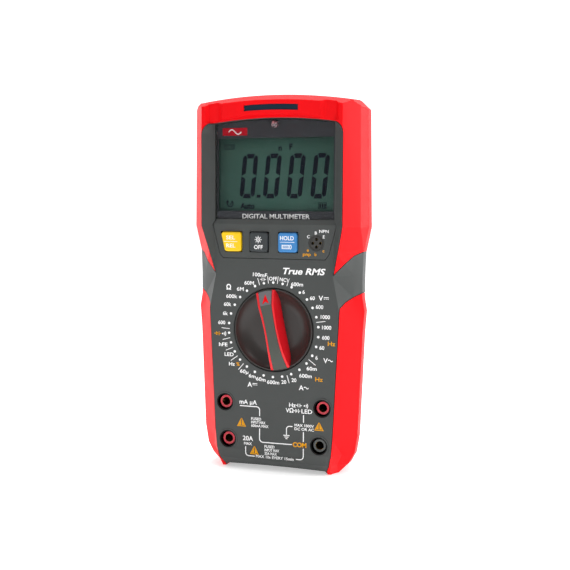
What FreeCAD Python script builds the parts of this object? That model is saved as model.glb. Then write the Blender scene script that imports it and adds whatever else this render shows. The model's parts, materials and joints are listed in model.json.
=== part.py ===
import FreeCAD, Part
import math
import os
from FreeCAD import Vector

# Handheld digital multimeter, modelled in millimetres.
#
# The parts are drawn with the meter lying on its back: x to the right, y towards the
# display end, z out of the front panel, and the origin at the dial's centre on the
# panel's surface.  stand_up() then turns the lot upright: +Z up, front facing -Y, and
# the origin under the middle of the bottom corners.

# ---- overall sizes ------------------------------------------------------------------
BOTTOM_Y = -70.0        # underside of the corner bumpers
GREY_BOTTOM_Y = -67.8   # underside of the case between the corner bumpers
RIM_Z = 4.8             # ridge of the bumper round the display
PART_Z = -10.5          # plane where the front and rear halves meet
BACK_Z = -45.2          # back face
SKIN = 2.6              # thickness of the soft bumpers over the case
WALL = 2.2              # thickness of the case walls
PANEL_T = 2.4           # thickness of the front panel
EDGE = 0.08             # width of the ridge round the display
SEAM = 0.3              # dark line between the bumpers and the case
GAP = 0.25              # visible gap round loose pieces in the panel
RUN = 0.05              # radial clearance of a running fit
FAR = 60.0              # reach of cutters that pass right outside the meter

# Side outline of the front half, from the display end down.
# y, ridge x, ridge z, bevel x, bevel z, x at the parting plane
STATIONS = [
    (118.0, 35.3, RIM_Z, 41.5, -4.0, 43.4),
    (50.0, 35.3, RIM_Z, 42.1, -4.0, 44.6),
    (37.5, 32.35, 2.2, 38.9, -6.2, 42.0),
    (26.7, 29.8, 0.0, 38.2, -7.0, 41.6),
    (16.0, 31.9, 0.0, 38.1, -7.0, 41.6),
    (9.7, 33.0, 0.0, 38.4, -6.8, 42.7),
    (-1.0, 32.4, 0.0, 38.5, -6.6, 41.9),
    (-51.0, 30.0, 0.0, 36.2, -6.6, 39.9),
    (-60.0, 29.2, 0.0, 33.4, -6.4, 38.4),
    (-65.0, 28.7, -1.2, 31.0, -6.4, 35.6),
    (BOTTOM_Y, 28.2, -5.0, 28.8, -7.0, 30.6),
]
# Display end, as outlines parallel to the panel: z, crown y, corner x, corner y
FRONT_CAP = [
    (10.0, 107.3, 35.4, 104.6),
    (RIM_Z, 109.7, 36.2, 107.0),
    (-1.0, 112.4, 38.2, 109.3),
    (PART_Z, 113.2, 39.2, 109.8),
]
REAR_CAP = [
    (PART_Z, 113.2, 39.2, 109.8),
    (-15.5, 113.1, 39.1, 109.7),
    (-27.0, 111.6, 35.4, 107.9),
    (-40.5, 108.6, 31.0, 105.4),
    (BACK_Z, 105.2, 28.4, 102.4),
]
CORNER_SLOPE = 0.95     # fall of the corner chamfers per mm of x
# Rear half: how far the side stands in from the parting line, and z
REAR_SIDE = [(0.0, PART_Z), (0.0, -15.5), (3.9, -27.0), (8.6, -40.5), (10.6, BACK_Z)]

# ---- display end of the front -------------------------------------------------------
RIDGE_X = 35.3 - EDGE
HOOD_END = (31.2, 99.0)     # where the hood's lower edge meets the rounded corner
HOOD_CROWN = 101.3          # height of that edge on the centre line
HOOD_BEVEL = 1.9            # rise of the hood's underside from the panel to the ridge
CORNER_START = 93.6         # where the ridge starts to turn round the corner
CORNER_MID = (34.15, 97.0)
NOTCH_FLOOR = 3.0           # z of the two shallow grips in the hood
ALARM_HALF = 13.5           # half width of the smoked strip in the hood
ALARM_Y = (105.0, 107.6)
BEZEL_RIGHT = [(26.0, 34.3), (27.9, 36.6), (31.5, 50.4), (30.3, 53.0)]
WINDOW_LOW_Y = 53.3         # lower edge of the clear window
LIP_Y = 50.9                # where the bezel starts to slope down to the window
WINDOW_Z = -0.6
WINDOW_T = 1.2
MASK_Z = -1.85
MASK_T = 0.15
CARRIER_Z = -2.05           # seat of the window
CARRIER_T = 1.15
LCD_HALF = 29.6             # visible part of the display
LCD_Y = (57.3, 92.3)
LED_Y = 98.7
LED_R = 1.8

# ---- keys ---------------------------------------------------------------------------
KEY_TOP = 1.3
KEY_Y = (37.7, 47.1)
KEY_GAP = 0.35
KEY_TRAVEL = 0.9
KEY_STEM_Z = -8.2
KEYS = {
    "key_select": [(-26.9, KEY_Y[1]), (-24.7, KEY_Y[0]), (-16.3, KEY_Y[0]), (-16.3, KEY_Y[1])],
    "key_backlight": [(-11.9, KEY_Y[1]), (-11.9, KEY_Y[0]), (-2.6, KEY_Y[0]), (-2.6, KEY_Y[1])],
    "key_hold": [(2.7, KEY_Y[1]), (2.7, KEY_Y[0]), (12.2, KEY_Y[0]), (12.2, KEY_Y[1])],
}
HFE = (21.6, 42.3)
HFE_R = 3.8
HFE_PINS = [(1.9, 0.0), (-1.9, 0.0), (0.0, 1.8), (0.0, -1.8)]

# ---- dial ---------------------------------------------------------------------------
DIAL_R = 20.0
DIAL_GAP = 0.35
DIAL_FLOOR = -4.3           # floor of the dished disc
DIAL_UNDER = -6.2
DIAL_REST = 12.0            # degrees anticlockwise of the OFF position
BAR_TOP = 3.4
BAR_REACH = 19.3
ROTOR_R = 23.0
POSITIONS = 30

# ---- input sockets ------------------------------------------------------------------
SOCKETS = {
    "ma": (-25.0, -36.8),
    "volt": (25.0, -36.8),
    "20a": (-23.5, -55.2),
    "com": (23.5, -55.2),
}
BORE_R = 2.05
TUBE_R = 2.6
POST_R = 3.1
NECK_R = 4.35
SLEEVE_IN_R = 3.85
SLEEVE_R = 5.2
POST_Z = -1.6
LIP = 0.35              # height of the coloured rim over the end of the brass tube
SOCKET_FLOOR = -20.9

# ---- board, torch, battery bay and stand --------------------------------------------
TORCH_TIP_Y = 111.5
BOARD_Z = -11.4
BOARD_T = 1.6
BOARD_BACK = BOARD_Z - BOARD_T
CELL_R = 7.1
CELL_LENGTH = 49.2
CELL_PITCH = 15.0
CELL_Z = -32.3
BAY = (-23.3, -28.5, 23.3, 27.5)        # x0, y0, x1, y1 inside the battery bay
BAY_WALL = 1.4
COVER = (-24.2, -36.0, 24.2, 31.0)
COVER_Z = (-41.9, -39.6)
COVER_SCREWS = [(-18.0, -33.2), (18.0, -33.2)]
STAND_X = 24.4
STAND_FOOT = (20.5, -47.0)
STAND_Z = (-44.9, -42.3)
STAND_RECESS = 1.1      # depth of the ribbed field in its back
HINGE_Y = 37.0
HINGE_Z = -43.0
HINGE_PIN_R = 1.3
SCREW_SPOTS = [(26.4, 99.2), (27.9, 28.0), (26.6, -46.2)]
SCREW_POCKET_R = 2.6
NECK_POST_R = 2.6       # screw posts where they pass through the board
BOARD_SCREWS = [(-30.0, 20.0), (30.0, 20.0), (-6.0, -62.0), (6.0, -62.0)]
BOARD_SCREW_R = 1.1
BOARD_SCREW_TIP = -6.8


# ---- helpers ------------------------------------------------------------------------
def wire(start, steps, z=0.0):
    """Closed flat wire.  A step (x, y) is a straight edge; ((mx, my), (x, y)) is an arc."""
    edges = []
    here = Vector(start[0], start[1], z)
    for step in steps + [start]:
        if isinstance(step[0], tuple):
            middle = Vector(step[0][0], step[0][1], z)
            there = Vector(step[1][0], step[1][1], z)
            edges.append(Part.Arc(here, middle, there).toShape())
        else:
            there = Vector(step[0], step[1], z)
            if there.distanceToPoint(here) < 1e-6:
                continue
            edges.append(Part.makeLine(here, there))
        here = there
    return Part.Wire(edges)


def prism(outline, z0, z1):
    """Solid between two heights over a flat wire or a list of corner points."""
    if not isinstance(outline, Part.Shape):
        outline = wire(outline[0], list(outline[1:]))
    face = Part.Face(outline)
    face.translate(Vector(0, 0, z0 - face.BoundBox.ZMin))
    return face.extrude(Vector(0, 0, z1 - z0))


def prism_x(points, x0, x1):
    """Solid between two values of x over a list of (y, z) points."""
    corners = [Vector(x0, y, z) for y, z in points]
    face = Part.Face(Part.makePolygon(corners + corners[:1]))
    return face.extrude(Vector(x1 - x0, 0, 0))


def prism_y(points, y0, y1):
    """Solid between two values of y over a list of (x, z) points."""
    corners = [Vector(x, y0, z) for x, z in points]
    face = Part.Face(Part.makePolygon(corners + corners[:1]))
    return face.extrude(Vector(0, y1 - y0, 0))


def box(x0, y0, z0, x1, y1, z1):
    low = Vector(min(x0, x1), min(y0, y1), min(z0, z1))
    return Part.makeBox(abs(x1 - x0), abs(y1 - y0), abs(z1 - z0), low)


def rod(x, y, z0, z1, r):
    return Part.makeCylinder(r, abs(z1 - z0), Vector(x, y, min(z0, z1)))


def rod_x(x0, x1, y, z, r):
    return Part.makeCylinder(r, x1 - x0, Vector(x0, y, z), Vector(1, 0, 0))


def rod_y(x, y0, y1, z, r):
    return Part.makeCylinder(r, y1 - y0, Vector(x, y0, z), Vector(0, 1, 0))


def tube(x, y, z0, z1, outer, inner):
    return rod(x, y, z0, z1, outer).cut(rod(x, y, z0 - 1, z1 + 1, inner))


def revolve(profile_wire):
    """Turn a wire drawn with x as radius and y as height about the z axis."""
    face = Part.Face(profile_wire)
    face.rotate(Vector(0, 0, 0), Vector(1, 0, 0), 90)
    return face.revolve(Vector(0, 0, 0), Vector(0, 0, 1), 360)


def flat_loft(sections):
    """Solid with flat faces through a row of outlines that have the same number of corners."""
    faces = [Part.Face(Part.makePolygon(ring + ring[:1])) for ring in (sections[0], sections[-1])]
    for low, high in zip(sections, sections[1:]):
        for i in range(len(low)):
            a, b = low[i - 1], low[i]
            c, d = high[i], high[i - 1]
            if abs((b - a).cross(c - a).dot(d - a)) < 1e-6:
                corners = [[a, b, c, d]]
            elif a.x + b.x > 0:
                corners = [[a, b, c], [a, c, d]]
            else:
                corners = [[a, b, d], [b, c, d]]
            faces += [Part.Face(Part.makePolygon(ring + ring[:1])) for ring in corners]
    skin = Part.makeCompound(faces)
    skin.sewShape()
    solid = Part.makeSolid(skin.Shells[0])
    return solid if solid.Volume > 0 else solid.reversed()


def fuse(shapes):
    return shapes[0].fuse(list(shapes[1:])).removeSplitter()


def cut(shape, tools):
    return shape.cut(list(tools))


def both_sides(shape):
    return [shape, shape.mirror(Vector(0, 0, 0), Vector(1, 0, 0))]


def mirrored_spots(points):
    return [(s * x, y) for x, y in points for s in (1, -1)]


def soften(shape, radius, wanted):
    """Fillet the edges that the test picks."""
    edges = [e for e in shape.Edges if wanted(e)]
    return shape.makeFillet(radius, edges) if edges else shape


def upright(edge):
    """Fillet test: the edges that stand along z."""
    a, b = edge.Vertexes[0].Point, edge.Vertexes[-1].Point
    return abs(a.x - b.x) < 1e-6 and abs(a.y - b.y) < 1e-6


def level_edges(z):
    """Fillet test: the edges that lie at one height."""
    def level(edge):
        box_ = edge.BoundBox
        return abs(box_.ZMin - z) < 1e-6 and abs(box_.ZMax - z) < 1e-6
    return level


def mirrored_wire(right, top_mid, z=0.0, corner=None):
    """Closed wire with the right-hand points given from the bottom up and mirrored.

    The last right-hand point and its mirror are joined by an arc through top_mid.
    corner is the middle of an arc that leads to the last point."""
    left = [(-x, y) for x, y in reversed(right)]
    steps = list(right[1:])
    if corner:
        steps[-1] = (corner, right[-1])
    steps.append((top_mid, left[0]))
    if corner:
        steps.append(((-corner[0], corner[1]), left[1]))
        steps += left[2:]
    else:
        steps += left[1:]
    return wire(right[0], steps, z)


def hood_y(x, crown=HOOD_CROWN):
    """Height of the hood's lower edge, an arc through its end and crown."""
    rise = HOOD_CROWN - HOOD_END[1]
    radius = (HOOD_END[0] ** 2 + rise ** 2) / (2 * rise)
    return crown - radius + math.sqrt(radius ** 2 - x ** 2)


# ---- outer forms of the two halves --------------------------------------------------
def cap(levels, inset):
    """Everything below the display end's outer surface."""
    wires = []
    for z, crown, cx, cy in levels:
        cx, cy, crown = cx - 0.4 * inset, cy - inset, crown - inset
        edge_y = cy - (FAR - cx) * CORNER_SLOPE
        wires.append(wire(
            (-FAR, -90.0),
            [(FAR, -90.0), (FAR, edge_y), (cx, cy), ((0.0, crown), (-cx, cy)), (-FAR, edge_y)],
            z,
        ))
    return Part.makeLoft(wires, True, True)


def front_form(inset=0.0, drop=0.0):
    """Outer form of the front half, or the same form drawn in by inset."""
    sections = []
    for y, rx, rz, bx, bz, sx in STATIONS:
        rx, rz = rx - 0.48 * inset, rz - drop
        bx, bz = bx - 0.9 * inset, bz - 0.5 * inset
        sx -= 1.15 * inset
        half = [(rx, rz), (bx, bz), (sx, PART_Z)]
        points = [Vector(x, y, z) for x, z in half]
        sections.append(points + [Vector(-x, y, z) for x, z in reversed(half)])
    return flat_loft(sections).common(cap(FRONT_CAP, inset))


def rear_form(inset=0.0):
    """Outer form of the rear half, or the same form drawn in by inset."""
    sections = []
    for y, _, _, _, _, sx in STATIONS:
        half = []
        for i, (step, z) in enumerate(REAR_SIDE):
            x = sx - step - inset * (1.1, 1.1, 1.0, 0.9, 0.8)[i]
            half.append((x, z + inset * (0.0, 0.0, 0.2, 0.5, 1.0)[i]))
        points = [Vector(x, y, z) for x, z in half]
        sections.append(points + [Vector(-x, y, z) for x, z in reversed(half)])
    form = flat_loft(sections).common(cap(REAR_CAP, inset))
    foot = prism_x(
        [(BOTTOM_Y - 1, -33.0), (BOTTOM_Y, -33.0), (-64.0 + inset, BACK_Z), (-64.0, BACK_Z - 5),
         (BOTTOM_Y - 1, BACK_Z - 5)],
        -FAR, FAR,
    )
    return form.cut(foot)


def bottom_middle(z0, z1, inset=0.0):
    """The space under the case, between the two bottom corners."""
    y = GREY_BOTTOM_Y + inset
    outline = wire(
        (-26.4, BOTTOM_Y - 5),
        [(26.4, BOTTOM_Y - 5), (26.4, BOTTOM_Y), (25.8, y - 0.5), ((0.0, y), (-25.8, y - 0.5)),
         (-26.4, BOTTOM_Y)],
    )
    return prism(outline, z0, z1)


def below(y):
    """Everything below a height on the panel."""
    return box(-FAR, -100.0, -60.0, FAR, y, 20.0)


# ---- split lines between case and bumpers -------------------------------------------
UPPER_SPLIT = [(29.8, 26.7), (38.7, 36.4), (42.0, 38.0), (FAR, 42.0)]
LOWER_SPLIT = [(FAR, 21.2), (41.6, 18.6), (38.1, 16.8), (35.0, 14.4), (33.0, 11.6)]
FRONT_LOWER = [(30.0, -51.0), (29.2, -60.0), (28.0, -65.0), (26.2, -68.4), (26.2, -80.0)]
REAR_LOWER = [(33.4, 10.0), (32.0, -50.0), (29.2, -61.0), (26.2, -68.4), (26.2, -80.0)]


def front_grey_zone(grow=0.0):
    """Where the front shows the case, or that region grown all round."""
    right = list(reversed(FRONT_LOWER)) + list(reversed(LOWER_SPLIT)) + list(reversed(UPPER_SPLIT))
    right += [(35.3, 50.0), (35.3, CORNER_START), HOOD_END]
    outline = mirrored_wire(right, (0.0, HOOD_CROWN), corner=CORNER_MID)
    return prism(outline.makeOffset2D(grow) if grow else outline, PART_Z - 1, 12.0)


def rear_grey_zone(grow=0.0):
    """Where the back shows the case, or that region grown all round."""
    right = list(reversed(REAR_LOWER)) + list(reversed(LOWER_SPLIT[:-1]))
    right += [(FAR, 42.0), (42.0, 38.0), (34.6, 44.0), (34.6, 93.0), (29.6, 98.6)]
    outline = mirrored_wire(right, (0.0, 100.4), corner=(33.2, 96.8))
    return prism(outline.makeOffset2D(grow) if grow else outline, BACK_Z - 1, PART_Z + 1)


def dish():
    """The space in front of the panel, inside the sloping surround of the display."""
    foot_corner = (30.4, hood_y(30.4))
    low = mirrored_wire(
        [(29.7, 26.7), (30.8, 50.0), (30.6, CORNER_START), foot_corner],
        (0.0, HOOD_CROWN + EDGE), 0.0, corner=(30.55, 97.0),
    )
    high = mirrored_wire(
        [(29.7 + 4.5, 26.7), (RIDGE_X, 50.0), (RIDGE_X, CORNER_START), HOOD_END],
        (0.0, HOOD_CROWN + HOOD_BEVEL), RIM_Z, corner=(CORNER_MID[0] - EDGE, CORNER_MID[1] - EDGE),
    )
    slope = Part.makeLoft([low, high], True, True)
    return slope.fuse(prism(high, RIM_Z, 14.0))


def hood_notches():
    """Cutters for the two shallow grips in the hood."""
    section = [
        (22.8, 6.2), (27.0, NOTCH_FLOOR), (32.0, NOTCH_FLOOR), (34.6, 6.2), (34.6, 12.0), (22.8, 12.0),
    ]
    return both_sides(prism_y(section, 99.4, 120.0))


def alarm_outline(grow=0.0):
    """The smoked strip, slightly arched like the hood."""
    half = ALARM_HALF + grow
    low, high = ALARM_Y[0] - grow, ALARM_Y[1] + grow
    return wire(
        (-half, hood_y(half, low)),
        [((0.0, low), (half, hood_y(half, low))), (half, hood_y(half, high)),
         ((0.0, high), (-half, hood_y(half, high)))],
    )


def bezel_outline():
    right = BEZEL_RIGHT + [(30.3, hood_y(30.3))]
    return mirrored_wire(right, (0.0, HOOD_CROWN))


def stand_plate(grow, top_y, z0, z1):
    """The stand's plate, or the room for it in the back."""
    side, foot_x, foot_y = STAND_X + grow, STAND_FOOT[0] + grow, STAND_FOOT[1] - grow
    outline = [(side, top_y), (side, COVER[1] - 0.5), (foot_x, foot_y),
               (-foot_x, foot_y), (-side, COVER[1] - 0.5), (-side, top_y)]
    return prism(outline, z0, z1)


# ---- case and bumpers ---------------------------------------------------------------
def front_shells():
    """The front case and its three bumpers."""
    form = cut(front_form(), [bottom_middle(PART_Z - 1, 12.0)] + hood_notches())
    grey_zone = front_grey_zone()
    core = front_form(SKIN, SKIN).cut(below(GREY_BOTTOM_Y + 0.4))
    core = core.cut(box(-FAR, 99.0, 0.4, FAR, 130.0, 20.0))
    case = form.common(grey_zone).fuse(core).cut(dish())
    red = form.cut(front_grey_zone(SEAM)).cut(core).cut(dish())

    cavity = front_form(SKIN + WALL, PANEL_T)
    case = case.cut(cavity.common(box(-FAR, GREY_BOTTOM_Y + WALL, PART_Z - 1, FAR, 120, -PANEL_T)))

    well = DIAL_R + DIAL_GAP
    inside = front_form(1.0, 1.0)
    added = [tube(0, 0, DIAL_UNDER + 0.4, -PANEL_T, well + 1.6, well)]
    for x, y in mirrored_spots(SCREW_SPOTS):
        added.append(rod(x, y, PART_Z, -PANEL_T + 0.2, 3.2).common(inside))
    for x, y in BOARD_SCREWS:
        added.append(tube(x, y, BOARD_Z + 0.05, -PANEL_T + 0.2, 2.4, BOARD_SCREW_R + 0.05))
    for x, y in SOCKETS.values():
        added.append(tube(x, y, -5.5, -PANEL_T + 0.1, SLEEVE_R + 1.4, SLEEVE_R + RUN))
    case = case.fuse(added)

    holes = [prism(bezel_outline(), CARRIER_Z - CARRIER_T - 0.3, 12.0), rod(0, 0, -9, 5, well)]
    holes.append(Part.makeCone(well - 0.1, well + 0.5, 0.6, Vector(0, 0, -0.5)))
    for x, y in SOCKETS.values():
        holes.append(rod(x, y, -PANEL_T - 1, 5, NECK_R + RUN))
        holes.append(rod(x, y, -5.6, -PANEL_T, SLEEVE_R + RUN))
    for x, y in mirrored_spots(SCREW_SPOTS):
        holes.append(rod(x, y, PART_Z - 1, -4.0, 1.3))
    alarm = prism(alarm_outline(0.1), -4.0, 12.0)
    holes.append(alarm)
    collars = [tube(x, y, -0.3, 0.22, NECK_R + 0.75, NECK_R + RUN) for x, y in SOCKETS.values()]
    case = cut(case, holes).fuse(collars)
    red = cut(red, added + [alarm])
    pieces = sorted(red.Solids, key=lambda s: s.Volume, reverse=True)
    return case.removeSplitter(), pieces


def rear_shells():
    """The rear case and its three bumpers."""
    form = rear_form().cut(bottom_middle(BACK_Z - 1, PART_Z + 1))
    grey_zone = rear_grey_zone()
    core = rear_form(SKIN).cut(below(GREY_BOTTOM_Y + 0.4))
    case = form.common(grey_zone).fuse(core)
    red = form.cut(rear_grey_zone(SEAM)).cut(core)

    cavity = rear_form(SKIN + WALL).cut(below(GREY_BOTTOM_Y + WALL))
    thick_back = box(-31, -52, BACK_Z, 31, 45, COVER_Z[1] + 1.8)
    case = case.cut(cavity.cut(thick_back))
    bay_block = box(BAY[0] - BAY_WALL, BAY[1] - BAY_WALL, COVER_Z[1],
                    BAY[2] + BAY_WALL, BAY[3] + BAY_WALL, CELL_Z + CELL_R + 2.0)
    case = case.fuse(bay_block)

    posts = []
    for x, y in mirrored_spots(SCREW_SPOTS):
        posts.append(rod(x, y, -16.0, BACK_Z + SKIN, 3.6).common(rear_form(1.0)))
        posts.append(rod(x, y, PART_Z, -16.5, NECK_POST_R))
    for x, y in COVER_SCREWS:
        posts.append(rod(x, y, COVER_Z[1], -30.0, 3.0))
    case = case.fuse(posts)

    stand_room = stand_plate(0.3, HINGE_Y + 2.6, BACK_Z - 1, STAND_Z[1] + 0.2)
    trough = rod_x(-STAND_X - 0.3, STAND_X + 0.3, HINGE_Y, HINGE_Z, 2.5)
    finger = rod(0, STAND_FOOT[1] + 2.0, BACK_Z - 0.2, BACK_Z + 2.2, 10.0)
    pins = rod_x(-STAND_X - 2.7, STAND_X + 2.7, HINGE_Y, HINGE_Z, HINGE_PIN_R + RUN)
    cover_room = box(COVER[0] - 0.2, COVER[1] - 0.2, STAND_Z[1],
                     COVER[2] + 0.2, COVER[3] + 0.2, COVER_Z[1])
    tongue = box(-8.2, COVER[3], COVER_Z[1] - 1.0, 8.2, COVER[3] + 2.2, COVER_Z[1])
    bay = box(BAY[0], BAY[1], COVER_Z[0], BAY[2], BAY[3], CELL_Z + CELL_R + 0.6)
    tools = [stand_room, trough, finger, pins, cover_room, tongue, bay]
    for x, y in COVER_SCREWS:
        tools.append(rod(x, y, COVER_Z[1] - 0.1, -31.5, 1.1))
    screw_heads = []
    for x, y in mirrored_spots(SCREW_SPOTS):
        tools.append(rod(x, y, PART_Z + 1, BACK_Z, 1.6))
        screw_heads.append(rod(x, y, BACK_Z - 5, -37.0, SCREW_POCKET_R))
    torch = rod_y(0, 100.0, 120.0, -24.0, 3.4)
    tools += screw_heads + [torch]
    case = cut(case, tools).removeSplitter()
    red = cut(red, posts + screw_heads + [torch])
    pieces = sorted(red.Solids, key=lambda s: s.Volume, reverse=True)
    return case, pieces


# ---- display ------------------------------------------------------------------------
def bezel_insert():
    """Panel insert that carries the window, the keys and the transistor socket."""
    outline = bezel_outline().makeOffset2D(-GAP)
    plate = prism(outline, CARRIER_Z - CARRIER_T, 0.0)
    tools = [
        box(-FAR, WINDOW_LOW_Y, CARRIER_Z, FAR, 120, 2),
        box(-LCD_HALF, LCD_Y[0], -9, LCD_HALF, LCD_Y[1], 2),
        prism_x([(LIP_Y, 0.0), (WINDOW_LOW_Y + 0.1, WINDOW_Z - 0.4), (WINDOW_LOW_Y + 0.1, 1.0),
                 (LIP_Y, 1.0)], -FAR, FAR),
        rod(0, LED_Y, -9, 2, LED_R + 0.15),
        rod(HFE[0], HFE[1], -9, 2, HFE_R + 0.1),
    ]
    for corners in KEYS.values():
        tools.append(prism(wire(corners[0], corners[1:]).makeOffset2D(KEY_GAP), -9.0, 2.0))
    return cut(plate, tools)


def window_outline(inset):
    body = bezel_outline().makeOffset2D(-GAP - inset)
    return prism(body, -5, 5).common(box(-FAR, WINDOW_LOW_Y + 0.15 + inset, -6, FAR, 120, 6))


def display_window():
    pane = window_outline(0.0).common(box(-FAR, 0, WINDOW_Z - WINDOW_T, FAR, 120, WINDOW_Z))
    return pane.cut(rod(0, LED_Y, -9, 2, LED_R + 0.15))


def window_mask():
    film = window_outline(0.2).common(box(-FAR, 0, MASK_Z - MASK_T, FAR, 120, MASK_Z))
    return cut(film, [
        box(-LCD_HALF + 0.3, LCD_Y[0], -9, LCD_HALF - 0.3, LCD_Y[1], 2),
        rod(0, LED_Y, -9, 2, LED_R + 0.15),
    ])


def alarm_window():
    strip = prism(alarm_outline(), -3.6, RIM_Z - 0.7)
    return strip.cut(prism(alarm_outline(-1.0), -4.0, -1.5))


def status_led():
    body = rod(0, LED_Y, BOARD_Z + 1.0, -1.5, LED_R)
    dome = Part.makeSphere(LED_R, Vector(0, LED_Y, -1.5))
    flange = rod(0, LED_Y, BOARD_Z + 1.0, BOARD_Z + 2.0, LED_R + 0.4)
    legs = []
    for x in (-0.9, 0.9):
        legs.append(box(x - 0.25, LED_Y - 0.25, BOARD_BACK - 1.5, x + 0.25, LED_Y + 0.25, BOARD_Z + 1.2))
    return fuse([body, dome, flange] + legs)


def lcd_glass():
    back = box(-31.2, 55.4, -5.6, 31.2, 94.4, -4.5)
    front = box(-31.2, 57.0, -4.5, 31.2, 92.8, -3.4)
    return fuse([back, front])


def lcd_holder():
    frame = box(-32.6, 54.2, BOARD_Z + 0.05, 32.6, 95.6, -3.35)
    return cut(frame, [
        box(-31.3, 55.3, -5.7, 31.3, 94.5, -3.0),
        box(-30.2, 57.9, BOARD_Z - 1, 30.2, 91.9, -5.0),
        box(-28.2, 55.6, BOARD_Z - 1, 28.2, 57.2, -5.0),
        box(-28.2, 92.6, BOARD_Z - 1, 28.2, 94.2, -5.0),
    ])


def backlight_guide():
    return box(-30.0, 58.1, -8.6, 30.0, 91.7, -5.75)


def zebra_strips():
    low = box(-28.0, 55.7, BOARD_Z + 0.05, 28.0, 57.1, -5.65)
    high = box(-28.0, 92.7, BOARD_Z + 0.05, 28.0, 94.1, -5.65)
    return Part.makeCompound([low, high])


# ---- keys ---------------------------------------------------------------------------
def key(corners):
    """A key cap with a retaining flange under the panel and a stem over its dome."""
    body = soften(prism(corners, -4.3, KEY_TOP), 1.3, upright)
    body = soften(body, 0.7, level_edges(KEY_TOP))
    xs = [x for x, _ in corners]
    mid_x = (min(xs) + max(xs)) / 2
    mid_y = (KEY_Y[0] + KEY_Y[1]) / 2
    flange = box(min(xs) - 0.9, KEY_Y[0] - 0.9, -4.9, max(xs) + 0.9, KEY_Y[1] + 0.9, -4.0)
    stem = rod(mid_x, mid_y, KEY_STEM_Z, -4.5, 2.2)
    return fuse([body, flange, stem])


def keypad_mat():
    """Silicone mat on the board with a dome under each key."""
    mat = box(-29.0, 35.0, BOARD_Z + 0.03, 14.5, 49.5, BOARD_Z + 0.9)
    for corners in KEYS.values():
        xs = [x for x, _ in corners]
        mid_x = (min(xs) + max(xs)) / 2
        mid_y = (KEY_Y[0] + KEY_Y[1]) / 2
        dome = Part.makeCone(3.6, 2.0, 1.2, Vector(mid_x, mid_y, BOARD_Z + 0.8))
        mat = mat.fuse(dome)
    return mat.removeSplitter()


def hfe_socket():
    body = rod(HFE[0], HFE[1], BOARD_Z + 0.03, -0.05, HFE_R)
    body = body.fuse(rod(HFE[0], HFE[1], -6.4, -3.3, HFE_R + 0.9))
    groove = tube(HFE[0], HFE[1], -0.3, 1.0, HFE_R - 0.45, HFE_R - 0.8)
    tools = [groove]
    for dx, dy in HFE_PINS:
        tools.append(rod(HFE[0] + dx, HFE[1] + dy, BOARD_Z - 1, 1.0, 0.75))
    return cut(body, tools)


def hfe_contacts():
    pins = []
    for dx, dy in HFE_PINS:
        pins.append(tube(HFE[0] + dx, HFE[1] + dy, BOARD_BACK - 0.8, -3.0, 0.6, 0.35))
    return Part.makeCompound(pins)


# ---- dial ---------------------------------------------------------------------------
def turned(shape):
    """Turn a dial piece from the OFF position to its rest position."""
    shape.rotate(Vector(0, 0, 0), Vector(0, 0, 1), DIAL_REST)
    return shape


def bar_height(v):
    """Height of the grip bar's ridge at a distance v along it."""
    if v > 12.4:
        return BAR_TOP - (v - 12.4) / (BAR_REACH - 12.4) * (BAR_TOP - 0.5)
    if v < -6.0:
        return BAR_TOP - ((-v - 6.0) / (BAR_REACH - 6.0)) ** 2 * (BAR_TOP - 0.5)
    return BAR_TOP


def bar_half(v, mid, end):
    """Half width of the grip bar, waisted in the middle."""
    return mid + (end - mid) * (abs(v) / BAR_REACH) ** 1.8


BAR_STATIONS = [-BAR_REACH, -16.0, -13.0, -10.0, -6.0, 0.0, 6.0, 10.0, 12.4, 16.0, BAR_REACH]


def bar_loft(top_mid, top_end, low_mid, low_end, lift, floor):
    sections = []
    for v in BAR_STATIONS:
        top, low = bar_half(v, top_mid, top_end), bar_half(v, low_mid, low_end)
        z = bar_height(v) + lift
        sections.append([
            Vector(low, v, floor), Vector(top, v, z), Vector(-top, v, z), Vector(-low, v, floor),
        ])
    return flat_loft(sections)


def dial_disc():
    """Dished disc, flush with the panel at its rim."""
    profile = wire(
        (0.0, DIAL_UNDER),
        [(DIAL_R, DIAL_UNDER), (DIAL_R, -0.25), (DIAL_R - 0.25, 0.1), (DIAL_R - 0.7, 0.1),
         ((16.2, -3.1), (12.0, DIAL_FLOOR)), (0.0, DIAL_FLOOR)],
    )
    return revolve(profile)


def dial_pieces():
    disc = dial_disc()
    within = rod(0, 0, -10, 10, DIAL_R - 0.45)
    bar = bar_loft(3.3, 4.9, 4.8, 5.2, 0.0, DIAL_UNDER + 0.9).common(within)
    inlay_room = bar_loft(2.45, 3.6, 2.45, 3.6, 3.0, 1.2 - 2.4)
    inlay = bar_loft(2.4, 3.55, 2.4, 3.55, 0.12, -1.15).common(within)
    bar = bar.cut(inlay_room)
    disc = disc.cut(bar_loft(4.3, 5.05, 4.8, 5.2, 2.0, DIAL_UNDER + 0.9))
    disc = max(disc.Solids, key=lambda s: s.Volume)
    return turned(disc), turned(bar), turned(inlay)


def dial_rotor():
    """Contact carrier clipped under the disc, with the spindle that turns in the board."""
    plate = rod(0, 0, -8.8, DIAL_UNDER - 0.02, ROTOR_R)
    spindle = rod(0, 0, BOARD_BACK - 1.4, -8.0, 3.0)
    pockets = []
    for k in range(2):
        angle = math.radians(90 + 180 * k)
        x, y = (ROTOR_R - 1.3) * math.cos(angle), (ROTOR_R - 1.3) * math.sin(angle)
        pockets.append(Part.makeSphere(1.1, Vector(x, y, -7.5)))
    return turned(cut(fuse([plate, spindle]), pockets))


def detent_balls():
    balls = []
    for k in range(2):
        angle = math.radians(90 + 180 * k)
        x, y = (ROTOR_R - 1.3) * math.cos(angle), (ROTOR_R - 1.3) * math.sin(angle)
        balls.append(Part.makeSphere(1.05, Vector(x, y, -7.5)))
    return turned(Part.makeCompound(balls))


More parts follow.
